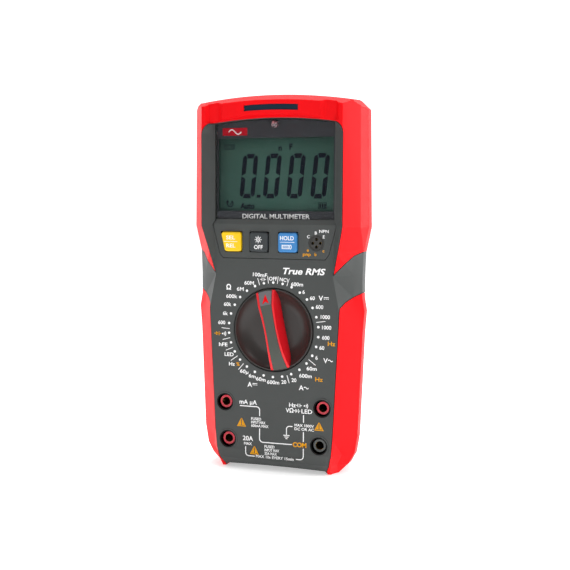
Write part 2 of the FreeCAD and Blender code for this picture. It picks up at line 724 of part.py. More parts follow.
def detent_ring():
    """Ring with one notch for each position of the dial."""
    ring = tube(0, 0, -8.6, -PANEL_T - 0.02, 26.6, 23.6)
    notches = [rod(23.5 * math.cos(a), 23.5 * math.sin(a), -9, -6.0, 0.75)
               for a in (2 * math.pi * k / POSITIONS for k in range(POSITIONS))]
    return ring.cut(Part.makeCompound(notches))


def rotor_contacts():
    """Bronze wipers under the rotor."""
    wipers = []
    for radius, angle in ((18.5, 20), (15.5, 75), (12.5, 130), (18.5, 200), (15.5, 255), (12.5, 310)):
        arm = box(radius - 1.0, -4.0, -9.2, radius + 1.0, 4.0, -8.82)
        foot = prism_x([(4.0, -9.2), (5.8, -10.9), (5.0, -10.9), (3.2, -9.2)], radius - 0.8, radius + 0.8)
        blade = fuse([arm, foot])
        blade.rotate(Vector(0, 0, 0), Vector(0, 0, 1), angle)
        wipers.append(blade)
    return turned(Part.makeCompound(wipers))


# ---- input sockets ------------------------------------------------------------------
def socket_contact(x, y):
    """Brass tube for a 4 mm plug, with a lug and a leg down to the board."""
    side = -1 if x > 0 else 1
    barrel = rod(x, y, SOCKET_FLOOR - 0.9, POST_Z - LIP - 0.05, TUBE_R)
    lug = box(x, y - 1.6, SOCKET_FLOOR - 0.9, x + side * 7.4, y + 1.6, SOCKET_FLOOR - 0.1)
    leg = box(x + side * 6.6, y - 1.6, SOCKET_FLOOR - 0.9, x + side * 7.4, y + 1.6, BOARD_BACK - 0.02)
    return cut(fuse([barrel, lug, leg]), [rod(x, y, -40, 5, BORE_R)])


def socket_ring(x, y):
    """Coloured insulating post round the brass tube."""
    post = rod(x, y, SOCKET_FLOOR + 0.1, POST_Z, POST_R)
    return cut(post, [rod(x, y, -40, 5, BORE_R + 0.05), rod(x, y, -40, POST_Z - LIP, TUBE_R + 0.02)])


def socket_sleeves():
    sleeves = []
    for x, y in SOCKETS.values():
        body = rod(x, y, SOCKET_FLOOR, -PANEL_T - 0.02, SLEEVE_R)
        neck = rod(x, y, -PANEL_T - 1, 0.1, NECK_R)
        sleeve = body.fuse(neck).cut(rod(x, y, SOCKET_FLOOR + 1.4, 1.0, SLEEVE_IN_R))
        sleeves.append(sleeve.cut(rod(x, y, SOCKET_FLOOR - 1, 0, POST_R + 0.02)))
    return Part.makeCompound(sleeves)


# ---- main board and what is on it ---------------------------------------------------
def main_board():
    right = [(25.5, -64.5), (31.5, -50.0), (33.5, -20.0), (34.5, 25.0), (36.0, 52.0), (36.0, 96.2),
             (31.0, 96.2), (31.0, 103.6)]
    left = [(-x, y) for x, y in reversed(right)]
    board = prism(right + left, BOARD_BACK, BOARD_Z)
    tools = [rod(0, 0, -20, 0, 3.0 + RUN)]
    tools += [rod(x, y, -20, 0, SLEEVE_R + 0.3) for x, y in SOCKETS.values()]
    tools += [rod(x, y, -20, 0, NECK_POST_R + 0.3) for x, y in mirrored_spots(SCREW_SPOTS)]
    tools += [rod(s * 0.9, LED_Y, -20, 0, 0.5) for s in (-1, 1)]
    for dx, dy in HFE_PINS:
        tools.append(rod(HFE[0] + dx, HFE[1] + dy, -20, 0, 0.62))
    for x, y in BOARD_SCREWS:
        tools.append(rod(x, y, -20, 0, 1.3))
    return cut(board, tools)


def board_screws():
    screws = []
    for x, y in BOARD_SCREWS:
        head = rod(x, y, BOARD_BACK - 1.5, BOARD_BACK - 0.02, 2.3)
        slot = box(x - 1.6, y - 0.3, BOARD_BACK - 2.0, x + 1.6, y + 0.3, BOARD_BACK - 0.9)
        shank = rod(x, y, BOARD_BACK - 0.1, BOARD_SCREW_TIP, BOARD_SCREW_R)
        screws.append(head.fuse(shank).cut(slot))
    return Part.makeCompound(screws)


def fuse_body(x0, x1, y, z, radius):
    """Cartridge fuse: a tube with a metal cap at each end."""
    glass = rod_x(x0 + 0.3, x1 - 0.3, y, z, radius - 0.35)
    caps = [rod_x(x0, x0 + 6.0, y, z, radius), rod_x(x1 - 6.0, x1, y, z, radius)]
    return fuse([glass] + caps)


# x0, x1, y, z, radius
FUSES = {
    "fuse_large": (-19.0, 19.0, -46.0, -20.2, 5.1),
    "fuse_small": (-15.8, 15.8, -60.6, -18.0, 3.15),
}


def fuse_clips():
    clips = []
    for x0, x1, y, z, radius in FUSES.values():
        for x in (x0 + 0.8, x1 - 4.8):
            block = box(x, y - radius - 0.6, z - 0.5, x + 4.0, y + radius + 0.6, BOARD_BACK - 0.02)
            clips.append(block.cut(rod_x(x - 1, x + 5, y, z, radius + 0.02)))
    return Part.makeCompound(clips)


def current_shunt():
    """Thick resistance wire that carries the 20 A range."""
    bar = rod_x(-14.0, 14.0, -54.4, -17.0, 1.0)
    legs = [rod(s * 13.0, -54.4, -17.0, BOARD_BACK - 0.02, 1.0) for s in (-1, 1)]
    return fuse([bar] + legs)


def quad_chip(x, y, size, height):
    body = box(x - size / 2, y - size / 2, BOARD_BACK - height, x + size / 2, y + size / 2, BOARD_BACK - 0.25)
    pins = []
    count = int(size / 1.1)
    for k in range(count):
        offset = (k - (count - 1) / 2) * 1.0
        for s in (-1, 1):
            pins.append(box(x + offset - 0.2, y + s * (size / 2 + 0.9), BOARD_BACK - 0.5,
                            x + offset + 0.2, y + s * (size / 2 - 0.2), BOARD_BACK - 0.02))
            pins.append(box(x + s * (size / 2 + 0.9), y + offset - 0.2, BOARD_BACK - 0.5,
                            x + s * (size / 2 - 0.2), y + offset + 0.2, BOARD_BACK - 0.02))
    return fuse([body] + pins)


def support_chips():
    chips = []
    for x, y, wide, high in ((-18.0, 60.0, 5.0, 6.2), (6.0, 52.0, 4.0, 5.0), (20.0, 55.0, 4.0, 5.0)):
        body = box(x - wide / 2, y - high / 2, BOARD_BACK - 1.8,
                   x + wide / 2, y + high / 2, BOARD_BACK - 0.3)
        legs = []
        for k in range(4):
            yy = y - high / 2 + 0.6 + k * (high - 1.2) / 3
            legs.append(box(x - wide / 2 - 0.9, yy - 0.2, BOARD_BACK - 0.6, x + wide / 2 + 0.9, yy + 0.2,
                            BOARD_BACK - 0.02))
        chips.append(fuse([body] + legs))
    return Part.makeCompound(chips)


def crystal():
    can = box(-7.0, 84.0, BOARD_BACK - 3.4, 3.0, 88.0, BOARD_BACK - 0.02)
    return soften(can, 1.2, upright)


def capacitors():
    cans = []
    for x, y, radius, height in ((24.0, 76.0, 3.2, 7.5), (24.0, 67.0, 2.6, 6.0), (-28.0, 52.0, 2.6, 6.0)):
        can = rod(x, y, BOARD_BACK - height, BOARD_BACK - 0.02, radius)
        cans.append(can.cut(tube(x, y, BOARD_BACK - 1.6, BOARD_BACK - 1.1, radius + 1, radius - 0.25)))
    return Part.makeCompound(cans)


def protection_parts():
    """Thermistor and varistor discs behind the volt socket."""
    discs = []
    for y in (-31.0, -34.4, -37.8):
        discs.append(rod_y(11.5, y, y + 2.2, BOARD_BACK - 5.2, 4.4).fuse(
            box(10.9, y + 0.8, BOARD_BACK - 2.0, 12.1, y + 1.4, BOARD_BACK - 0.02)))
    return Part.makeCompound(discs)


def buzzer():
    can = rod(-20.0, 80.0, BOARD_BACK - 5.0, BOARD_BACK - 0.02, 8.0)
    return can.cut(rod(-20.0, 80.0, BOARD_BACK - 6.0, BOARD_BACK - 3.0, 1.5))


def voltage_antenna():
    """Copper strip behind the display end, which senses a live wire."""
    strip = box(-12.0, 101.4, BOARD_BACK - 5.0, 12.0, 101.9, BOARD_BACK - 0.02)
    foot = box(-12.0, 99.4, BOARD_BACK - 0.5, 12.0, 101.9, BOARD_BACK - 0.02)
    return fuse([strip, foot])


def torch_parts():
    lens = rod_y(0, 108.5, TORCH_TIP_Y, -24.0, 3.3)
    lens = soften(lens, 0.6, lambda e: e.BoundBox.YMin > TORCH_TIP_Y - 1e-3)
    led = fuse([
        rod_y(0, 102.8, 106.4, -24.0, 2.5), Part.makeSphere(2.5, Vector(0, 105.6, -24.0)),
        rod_y(0, 102.0, 103.0, -24.0, 3.0),
    ])
    return led, lens


# ---- battery bay --------------------------------------------------------------------
def cells():
    result = []
    for k in (-1, 0, 1):
        up = 1 if k else -1
        start = (BAY[1] + BAY[3]) / 2 - up * CELL_LENGTH / 2
        foot = Vector(k * CELL_PITCH, start, CELL_Z)
        head = Vector(k * CELL_PITCH, start + up * CELL_LENGTH, CELL_Z)
        along = Vector(0, up, 0)
        body = Part.makeCylinder(CELL_R, CELL_LENGTH, foot, along)
        result.append(body.fuse(Part.makeCylinder(2.6, 1.2, head, along)))
    return Part.makeCompound(result)


def coil(x, y_wide, y_narrow):
    """Contact spring along y, drawn as rings joined by a wire."""
    radius, thick, count = 3.6, 0.36, 3
    turns = []
    for k in range(count):
        y = y_wide + (y_narrow - y_wide) * k / (count - 1)
        turns.append(Part.makeTorus(radius, thick, Vector(x, y, CELL_Z), Vector(0, 1, 0)))
    turns.append(rod_y(x + radius, min(y_wide, y_narrow), max(y_wide, y_narrow), CELL_Z, 0.7 * thick))
    return fuse(turns)


def battery_contacts():
    """Springs at the flat end and plates at the button end of each cell."""
    springs, plates = [], []
    middle = (BAY[1] + BAY[3]) / 2
    for k in (-1, 0, 1):
        up = 1 if k else -1
        wall = BAY[1] if up > 0 else BAY[3]
        cell_end = middle - up * CELL_LENGTH / 2
        springs.append(coil(k * CELL_PITCH, wall + up * 0.55, cell_end - up * 0.45))
        plate_wall = BAY[3] if up > 0 else BAY[1]
        plates.append(box(k * CELL_PITCH - 5.0, plate_wall - up * 0.02, CELL_Z - 4.5, k * CELL_PITCH + 5.0,
                          plate_wall - up * 0.5, CELL_Z + 4.5))
    return Part.makeCompound(springs + plates)


def battery_cover():
    plate = box(COVER[0], COVER[1], COVER_Z[0], COVER[2], COVER[3], COVER_Z[1] - 0.02)
    plate = soften(plate, 2.0, upright)
    tongue = box(-8.0, COVER[3] - 1, COVER_Z[1] - 0.9, 8.0, COVER[3] + 2.0, COVER_Z[1] - 0.1)
    shape = plate.fuse(tongue)
    for x, y in COVER_SCREWS:
        shape = shape.cut(rod(x, y, -50, -30, 1.5))
        shape = shape.cut(Part.makeCone(2.6, 1.5, 1.1, Vector(x, y, COVER_Z[0])))
    return shape


def battery_cover_screws():
    screws = []
    for x, y in COVER_SCREWS:
        head = Part.makeCone(2.5, 1.4, 1.1, Vector(x, y, COVER_Z[0] + 0.05))
        shank = rod(x, y, COVER_Z[0] + 0.8, -32.5, 1.05)
        slot = box(x - 1.9, y - 0.3, COVER_Z[0] - 1, x + 1.9, y + 0.3, COVER_Z[0] + 0.6)
        screws.append(head.fuse(shank).cut(slot))
    return Part.makeCompound(screws)


def case_screws():
    screws = []
    for x, y in mirrored_spots(SCREW_SPOTS):
        head = rod(x, y, -39.2, -37.02, SCREW_POCKET_R - 0.3)
        shank = rod(x, y, -37.5, -5.0, 1.25)
        cross = [box(x - a, y - b, -40.0, x + a, y + b, -38.4) for a, b in ((1.6, 0.3), (0.3, 1.6))]
        screws.append(cut(head.fuse(shank), cross))
    return Part.makeCompound(screws)


def tilt_stand():
    """Plate that swings out of the back on two stub pins."""
    plate = stand_plate(0.0, HINGE_Y, STAND_Z[0], STAND_Z[1])
    plate = soften(plate, 3.0, lambda e: upright(e) and e.BoundBox.YMax < 0)
    barrel = rod_x(-STAND_X, STAND_X, HINGE_Y, HINGE_Z, 2.0)
    pins = rod_x(-STAND_X - 2.4, STAND_X + 2.4, HINGE_Y, HINGE_Z, HINGE_PIN_R)
    recess = box(-17.0, -32.0, STAND_Z[0] - 1, 17.0, 26.0, STAND_Z[0] + STAND_RECESS)
    recess = soften(recess, 4.0, upright)
    ribs = [box(x - 0.8, -32.5, STAND_Z[0] + 0.2, x + 0.8, 26.5, STAND_Z[1]) for x in (-8.0, 0.0, 8.0)]
    nail = rod(0, STAND_FOOT[1] - 1.5, STAND_Z[0] - 0.1, STAND_Z[0] + 0.9, 6.0)
    return fuse([cut(fuse([plate, barrel, pins]), [recess, nail])] + ribs)


# ---- assembly -----------------------------------------------------------------------
def stand_up(shape):
    shape = shape.copy()
    shape.rotate(Vector(0, 0, 0), Vector(1, 0, 0), 90)
    shape.translate(Vector(0, (RIM_Z + BACK_Z) / 2, -BOTTOM_Y))
    return shape


def build():
    nodes = {}
    front_case, front_red = front_shells()
    rear_case, rear_red = rear_shells()
    nodes["front_case"] = front_case
    nodes["rear_case"] = rear_case
    for half, pieces in (("front", front_red), ("rear", rear_red)):
        nodes[half + "_bumper_top"] = pieces[0]
        lower = sorted(pieces[1:3], key=lambda s: s.CenterOfMass.x)
        nodes[half + "_bumper_left"], nodes[half + "_bumper_right"] = lower
    nodes["panel_insert"] = bezel_insert()
    nodes["display_window"] = display_window()
    nodes["window_mask"] = window_mask()
    nodes["alarm_window"] = alarm_window()
    nodes["status_led"] = status_led()
    nodes["lcd_glass"] = lcd_glass()
    nodes["lcd_holder"] = lcd_holder()
    nodes["backlight_guide"] = backlight_guide()
    nodes["zebra_strips"] = zebra_strips()
    for name, corners in KEYS.items():
        nodes[name] = key(corners)
    nodes["keypad_mat"] = keypad_mat()
    nodes["transistor_socket"] = hfe_socket()
    nodes["transistor_contacts"] = hfe_contacts()
    nodes["dial_disc"], nodes["dial_grip"], nodes["dial_inlay"] = dial_pieces()
    nodes["dial_rotor"] = dial_rotor()
    nodes["detent_balls"] = detent_balls()
    nodes["detent_ring"] = detent_ring()
    nodes["rotor_contacts"] = rotor_contacts()
    for name, (x, y) in SOCKETS.items():
        nodes["socket_contact_" + name] = socket_contact(x, y)
        nodes["socket_ring_" + name] = socket_ring(x, y)
    nodes["socket_sleeves"] = socket_sleeves()
    nodes["main_board"] = main_board()
    nodes["board_screws"] = board_screws()
    for name, sizes in FUSES.items():
        nodes[name] = fuse_body(*sizes)
    nodes["fuse_clips"] = fuse_clips()
    nodes["current_shunt"] = current_shunt()
    nodes["main_chip"] = quad_chip(2.0, 70.0, 14.0, 2.2)
    nodes["support_chips"] = support_chips()
    nodes["crystal"] = crystal()
    nodes["capacitors"] = capacitors()
    nodes["protection_discs"] = protection_parts()
    nodes["buzzer"] = buzzer()
    nodes["voltage_antenna"] = voltage_antenna()
    nodes["torch_led"], nodes["torch_lens"] = torch_parts()
    nodes["battery_cells"] = cells()
    nodes["battery_contacts"] = battery_contacts()
    nodes["battery_cover"] = battery_cover()
    nodes["battery_cover_screws"] = battery_cover_screws()
    nodes["case_screws"] = case_screws()
    nodes["tilt_stand"] = tilt_stand()
    return nodes


os.makedirs("parts", exist_ok=True)
for node, solid in build().items():
    stand_up(solid).exportStep("parts/%s.step" % node)
    print("%-24s solids %d valid %s volume %.1f" % (node, len(solid.Solids), solid.isValid(), solid.Volume))
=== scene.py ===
import json
import math

import bmesh
import bpy
from mathutils import Matrix, Vector


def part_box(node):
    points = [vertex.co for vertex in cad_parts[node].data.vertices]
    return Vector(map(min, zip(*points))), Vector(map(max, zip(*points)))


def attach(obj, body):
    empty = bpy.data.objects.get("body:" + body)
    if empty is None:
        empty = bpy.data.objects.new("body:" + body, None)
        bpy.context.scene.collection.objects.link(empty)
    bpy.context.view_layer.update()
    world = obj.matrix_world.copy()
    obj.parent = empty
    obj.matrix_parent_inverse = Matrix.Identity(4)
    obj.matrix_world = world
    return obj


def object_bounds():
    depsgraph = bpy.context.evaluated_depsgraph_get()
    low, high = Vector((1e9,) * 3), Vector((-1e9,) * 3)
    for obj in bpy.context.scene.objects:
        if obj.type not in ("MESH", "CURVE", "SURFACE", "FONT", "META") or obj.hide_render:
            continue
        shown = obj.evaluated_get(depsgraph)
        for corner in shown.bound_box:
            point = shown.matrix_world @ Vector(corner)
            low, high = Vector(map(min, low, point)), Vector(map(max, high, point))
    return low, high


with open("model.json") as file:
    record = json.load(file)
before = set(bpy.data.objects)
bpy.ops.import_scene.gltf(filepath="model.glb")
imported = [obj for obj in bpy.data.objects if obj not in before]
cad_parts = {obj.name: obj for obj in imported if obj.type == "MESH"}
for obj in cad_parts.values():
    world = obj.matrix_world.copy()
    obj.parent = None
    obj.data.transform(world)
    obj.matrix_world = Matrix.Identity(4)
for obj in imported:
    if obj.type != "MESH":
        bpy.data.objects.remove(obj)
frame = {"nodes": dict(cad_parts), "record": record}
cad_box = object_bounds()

# Looks of a handheld digital multimeter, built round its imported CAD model.
#
# Print and small pieces are placed in panel millimetres: x to the right and y up from the
# dial's centre, z out of the front panel.  place() turns them into the frame's metres.
MM = 0.001
NODES = frame["nodes"]
SLOT_OF = {part["node"]: part["material_slot"] for part in frame["record"]["subparts"]}

dial_low, dial_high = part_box("dial_disc")
CENTRE_X = (dial_low.x + dial_high.x) / 2
CENTRE_Z = (dial_low.z + dial_high.z) / 2
PANEL_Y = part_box("panel_insert")[0].y


def place(x, y, z=0.0):
    """Place in the frame, in metres, of a point in panel millimetres."""
    return Vector((CENTRE_X + x * MM, PANEL_Y - z * MM, CENTRE_Z + y * MM))


def front_of(node):
    """Height of a node's front surface above the panel, in millimetres."""
    return (PANEL_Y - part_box(node)[0].y) / MM


def add_object(name, data):
    """New object in the scene's own collection."""
    added = bpy.data.objects.new(name, data)
    bpy.context.scene.collection.objects.link(added)
    return added


# ---- sizes on the panel --------------------------------------------------------------------
INK = 0.03              # thickness of printed ink
SINK = 0.01             # how far print reaches below the surface it lies on
DOT_RING = 23.0         # radius of the ring of dots round the dial
DOT_COUNT = 30
DOT_R = 0.62
DIAL_REST = 12.0        # degrees anticlockwise from the OFF position
LCD_FRONT = front_of("lcd_glass")
MASK_FRONT = front_of("window_mask")
INLAY_TOP = front_of("dial_inlay")
POINTER_START = 12.4    # where the grip's ridge starts to fall towards the rim
POINTER_END = 19.3
POINTER_FALL = 2.9      # height lost between the two
POINTER_THICKNESS = 0.06
CAPITAL = 0.69          # height of the built-in font's capitals at size 1
UNIT_HEIGHT = 2.0       # capitals of Hz, LED and the like
SIGN_HEIGHT = 2.3       # capitals of V and A beside the dial
NUMBER_HEIGHT = 1.75    # capitals of the words round the dial
NOTE_HEIGHT = 1.3       # capitals of the small notes beside the sockets
PIN_HEIGHT = 1.4        # capitals of the transistor socket's letters
LIGHT = 0.016           # how much strokes of lettering are thickened, at size 1
BOLD = 0.018
LCD_HEIGHT = 2.6        # capitals of the display's small letters
LCD_BOLD = 0.045
LETTER_STEPS = 3        # straight pieces to each curve of a letter
TRACK = 0.45            # width of the lines that join the sockets
DIVIDER_LINE = 0.3
BADGE_DROP = 0.005      # how much lower the badge lies than the print on it
BADGE_THICKNESS = 0.02
MERGE_GAP = 1e-5        # corners of print nearer than this are one corner
SHARPEST_MITRE = 0.5    # cosine past which a mitred corner gets no longer
KEY_LINE = 0.2          # width of the line across a key


# ---- colours -------------------------------------------------------------------------------
def colour(red, green, blue):
    """Linear colour from display values of 0 to 255."""
    def linear(value):
        value /= 255
        return value / 12.92 if value <= 0.04045 else ((value + 0.055) / 1.055) ** 2.4
    return (linear(red), linear(green), linear(blue), 1.0)


def grey(level):
    """Neutral linear colour."""
    return (level, level, level, 1.0)


def shade(rgba, factor):
    """The same colour, darker or lighter."""
    return (rgba[0] * factor, rgba[1] * factor, rgba[2] * factor, 1.0)


# ---- materials -----------------------------------------------------------------------------
class Surface:
    """A Principled material with helpers for procedural detail.

    Scales are per metre, and bump depths are in metres.
    """

    def __init__(self, name, roughness=0.5):
        self.material = bpy.data.materials.new(name)
        self.material.use_nodes = True
        self.tree = self.material.node_tree
        self.shader = self.tree.nodes["Principled BSDF"]
        self.shader.inputs["Roughness"].default_value = roughness
        self.coordinates = self.tree.nodes.new("ShaderNodeTexCoord")

    def node(self, kind, **values):
        """Add a node and set its inputs by name."""
        made = self.tree.nodes.new(kind)
        for key, value in values.items():
            made.inputs[key].default_value = value
        return made

    def link(self, source, target):
        self.tree.links.new(source, target)

    def set(self, **values):
        """Set inputs of the shader, with _ for each space in their names."""
        for key, value in values.items():
            self.shader.inputs[key.replace("_", " ")].default_value = value

    def noise(self, scale, detail, stretch=(1, 1, 1)):
        """Soft noise, 0 to 1, finer along the axes with a larger stretch."""
        mapping = self.node("ShaderNodeMapping", Scale=stretch)
        self.link(self.coordinates.outputs["Object"], mapping.inputs["Vector"])
        texture = self.node("ShaderNodeTexNoise", Scale=scale, Detail=detail)
        self.link(mapping.outputs["Vector"], texture.inputs["Vector"])
        return texture.outputs["Fac"]

    def cells(self, scale):
        """Distance to the nearest of many scattered points."""
        texture = self.node("ShaderNodeTexVoronoi", Scale=scale)
        self.link(self.coordinates.outputs["Object"], texture.inputs["Vector"])
        return texture.outputs["Distance"]

    def ramp(self, source, stops):
        """Colour ramp from (position, colour) pairs."""
        ramp = self.tree.nodes.new("ShaderNodeValToRGB")
        band = ramp.color_ramp
        while len(band.elements) < len(stops):
            band.elements.new(0.5)
        for element, (position, rgba) in zip(band.elements, stops):
            element.position = position
            element.color = rgba
        self.link(source, ramp.inputs["Fac"])
        return ramp.outputs["Color"]

    def spread(self, source, low, high):
        """0 to 1 mapped to low to high."""
        mapped = self.node("ShaderNodeMapRange")
        mapped.inputs["To Min"].default_value = low
        mapped.inputs["To Max"].default_value = high
        self.link(source, mapped.inputs["Value"])
        return mapped.outputs["Result"]

    def along(self, axis, low, high):
        """0 to 1 between two places on an axis of the frame."""
        split = self.node("ShaderNodeSeparateXYZ")
        self.link(self.coordinates.outputs["Object"], split.inputs["Vector"])
        mapped = self.node("ShaderNodeMapRange")
        mapped.inputs["From Min"].default_value = low
        mapped.inputs["From Max"].default_value = high
        self.link(split.outputs[axis], mapped.inputs["Value"])
        return mapped.outputs["Result"]

    def multiply(self, first, second):
        """Product of two colours."""
        mix = self.tree.nodes.new("ShaderNodeMix")
        mix.data_type = "RGBA"
        mix.blend_type = "MULTIPLY"
        mix.inputs["Factor"].default_value = 1.0
        self.link(first, mix.inputs["A"])
        self.link(second, mix.inputs["B"])
        return mix.outputs["Result"]

    def mottle(self, rgba, amount, scale):
        """Base colour that drifts a little lighter and darker."""
        stops = [(0.25, shade(rgba, 1 - amount)), (0.75, shade(rgba, 1 + amount))]
        self.link(self.ramp(self.noise(scale, 4.0), stops), self.shader.inputs["Base Color"])

    def vary_roughness(self, low, high, scale):
        """Roughness that drifts between two values."""
        self.link(self.spread(self.noise(scale, 5.0), low, high), self.shader.inputs["Roughness"])

    def bump(self, source, strength, depth):
        """Relief of a given depth on the shading normal."""
        bump = self.node("ShaderNodeBump", Strength=strength, Distance=depth)
        self.link(source, bump.inputs["Height"])
        self.link(bump.outputs["Normal"], self.shader.inputs["Normal"])


def moulded(name, rgba, roughness, grain, drift=0.05):
    """Moulded plastic with a fine spark-eroded grain."""
    surface = Surface(name)
    surface.mottle(rgba, drift, 45.0)
    surface.vary_roughness(roughness - 0.07, roughness + 0.07, 160.0)
    surface.bump(surface.noise(2600.0, 2.0), grain, 0.00003)
    surface.set(Specular_IOR_Level=0.3)
    return surface


def glossy(name, rgba, roughness, specular=0.4):
    """Smooth moulded plastic with faint waviness."""
    surface = Surface(name)
    surface.mottle(rgba, 0.04, 60.0)
    surface.vary_roughness(roughness - 0.05, roughness + 0.06, 220.0)
    surface.bump(surface.noise(420.0, 2.0), 0.12, 0.00004)
    surface.set(Specular_IOR_Level=specular)
    return surface


def soft_touch(name, rgba, roughness=0.42, specular=0.12):
    """Elastomer with a satin skin."""
    surface = Surface(name)
    surface.mottle(rgba, 0.05, 38.0)
    surface.vary_roughness(roughness - 0.06, roughness + 0.08, 120.0)
    surface.bump(surface.noise(3200.0, 2.0), 0.3, 0.00002)
    surface.set(Specular_IOR_Level=specular)
    return surface


def metal(name, rgba, roughness, brushed=(1, 1, 1)):
    """Metal with fine scratches, drawn out along one axis where it is brushed."""
    surface = Surface(name)
    surface.set(Metallic=1.0)
    surface.mottle(rgba, 0.06, 200.0)
    surface.vary_roughness(roughness - 0.08, roughness + 0.1, 900.0)
    surface.bump(surface.noise(1500.0, 3.0, stretch=brushed), 0.15, 0.00002)
    return surface


def ink(name, rgba):
    """Screen-printed ink: slightly uneven, slightly raised."""
    surface = Surface(name)
    surface.mottle(rgba, 0.05, 300.0)
    surface.vary_roughness(0.45, 0.6, 500.0)
    surface.bump(surface.noise(4000.0, 1.0), 0.15, 0.00001)
    surface.set(Specular_IOR_Level=0.15)
    return surface


def clear_window(name, rgba, alpha):
    """Clear acrylic: mostly see-through, with a sharp reflection."""
    surface = Surface(name)
    surface.mottle(rgba, 0.1, 30.0)
    surface.vary_roughness(0.05, 0.1, 90.0)
    surface.set(Alpha=alpha)
    return surface


def display(name, dark, light):
    """Liquid-crystal panel: faintly speckled, with painted shade of its recess's walls, darker towards
    the top and the left edge.
    """
    surface = Surface(name)
    low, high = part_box("lcd_glass")
    # Painted shade cast by the recess's left wall: darkest at the left edge, a little darker at the
    # right too.
    painted_shade_across = surface.ramp(surface.along("X", low.x, high.x), [
        (0.0, grey(0.45)), (0.12, grey(0.8)), (0.45, grey(1.0)), (1.0, grey(0.85)),
    ])
    # Painted shade cast by the bezel above: darkest at the top, a little darker at the bottom too.
    painted_shade_upwards = surface.ramp(surface.along("Z", low.z, high.z), [
        (0.05, (0.85, 0.9, 0.88, 1)), (0.4, grey(1.0)),
        (0.8, (0.84, 0.88, 0.86, 1)), (0.94, (0.5, 0.54, 0.54, 1)),
    ])
    speckle = surface.ramp(surface.noise(90.0, 3.0), [(0.3, dark), (0.7, light)])
    speckle_in_painted_shade = surface.multiply(surface.multiply(speckle, painted_shade_across), painted_shade_upwards)
    surface.link(speckle_in_painted_shade, surface.shader.inputs["Base Color"])
    surface.vary_roughness(0.3, 0.36, 40.0)
    surface.set(Specular_IOR_Level=0.15)
    return surface


def laminate(name, mask, mask_light, copper):
    """Circuit board: solder mask in two tones with lighter tracks."""
    surface = Surface(name)
    tracks = surface.node("ShaderNodeTexBrick", Scale=260.0,
                          Color1=mask, Color2=mask_light, Mortar=copper)
    surface.link(surface.coordinates.outputs["Object"], tracks.inputs["Vector"])
    surface.link(tracks.outputs["Color"], surface.shader.inputs["Base Color"])
    surface.bump(tracks.outputs["Fac"], 0.3, 0.00004)
    surface.vary_roughness(0.3, 0.4, 300.0)
    return surface


def reflector_with_painted_glints(name, dark, middle, light):
    """Water-clear epoxy over a faceted reflector cup, whose facets' glints are painted into the colour
    as dark, middle and light cells.
    """
    surface = Surface(name, 0.12)
    # Painted reflections: the cells' lighter and darker tones stand for the cup's facets catching
    # light.
    stops = [(0.35, dark), (0.5, middle), (0.62, light)]
    surface.link(surface.ramp(surface.cells(900.0), stops), surface.shader.inputs["Base Color"])
    surface.bump(surface.cells(900.0), 0.5, 0.0002)
    surface.set(Coat_Weight=0.6)
    return surface


# Slot: how the material is made, and what the maker is given after the name
FINISHES = {
    "case_grey": (moulded, colour(69, 72, 71), 0.5, 0.45),
    "insert_grey": (moulded, colour(71, 74, 73), 0.46, 0.45),
    "bumper_red": (soft_touch, colour(238, 8, 18)),
    "window_clear": (clear_window, colour(20, 22, 24), 0.12),
    "mask_print": (moulded, colour(60, 62, 67), 0.35, 0.1, 0.03),
    "alarm_smoke": (glossy, colour(6, 40, 58), 0.12),
    "lcd": (display, colour(66, 100, 91), colour(74, 108, 98)),
    "holder_white": (moulded, colour(222, 222, 216), 0.5, 0.2),
    "light_guide": (glossy, colour(230, 232, 230), 0.3),
    "silicone": (soft_touch, colour(180, 180, 176), 0.6),
    "key_yellow": (soft_touch, colour(250, 203, 10), 0.38, 0.4),
    "key_dark": (soft_touch, colour(51, 56, 58), 0.4, 0.4),
    "key_blue": (soft_touch, colour(60, 132, 196), 0.38, 0.4),
    "socket_black": (glossy, colour(9, 9, 9), 0.35, 0.15),
    "socket_red": (glossy, colour(218, 48, 68), 0.3),
    "socket_grey": (glossy, colour(84, 87, 86), 0.3),
    "brass": (metal, colour(214, 178, 108), 0.3),
    "dial_dark": (glossy, colour(49, 46, 44), 0.3),
    "dial_red": (glossy, colour(232, 20, 34), 0.3),
    "dial_grey": (moulded, colour(75, 79, 73), 0.5, 0.3),
    "rotor_white": (glossy, colour(216, 216, 208), 0.35),
    "bronze": (metal, colour(200, 150, 96), 0.32),
    "steel": (metal, colour(196, 198, 200), 0.3, (1, 12, 1)),
    "board_green": (laminate, colour(14, 92, 48), colour(20, 108, 58), colour(40, 138, 80)),
    "ceramic": (glossy, colour(226, 222, 210), 0.35),
    "chip_black": (moulded, colour(26, 26, 27), 0.5, 0.4),
    "disc_blue": (glossy, colour(36, 92, 160), 0.3),
    "cell_wrap": (glossy, colour(58, 60, 64), 0.25),
    "copper": (metal, colour(214, 140, 104), 0.3),
    "legend_white": (ink, colour(252, 252, 252)),
    "legend_amber": (ink, colour(232, 160, 16)),
    "lcd_ink": (ink, colour(0, 10, 28)),
    "badge_red": (ink, colour(196, 10, 36)),
    # knob_tip: lighter grey than the inlay, a painted highlight where the grip's end slopes up to the
    # top light
    "knob_tip": (moulded, colour(112, 110, 114), 0.42, 0.3),
    "pin_socket": (moulded, colour(62, 61, 59), 0.45, 0.3),
    # led_clear: three tones of painted glints on the reflector cup's facets
    "led_clear": (reflector_with_painted_glints, colour(44, 34, 38), colour(84, 66, 72), colour(160, 132, 138)),
}
MATERIALS = {slot: make(slot, *values) for slot, (make, *values) in FINISHES.items()}


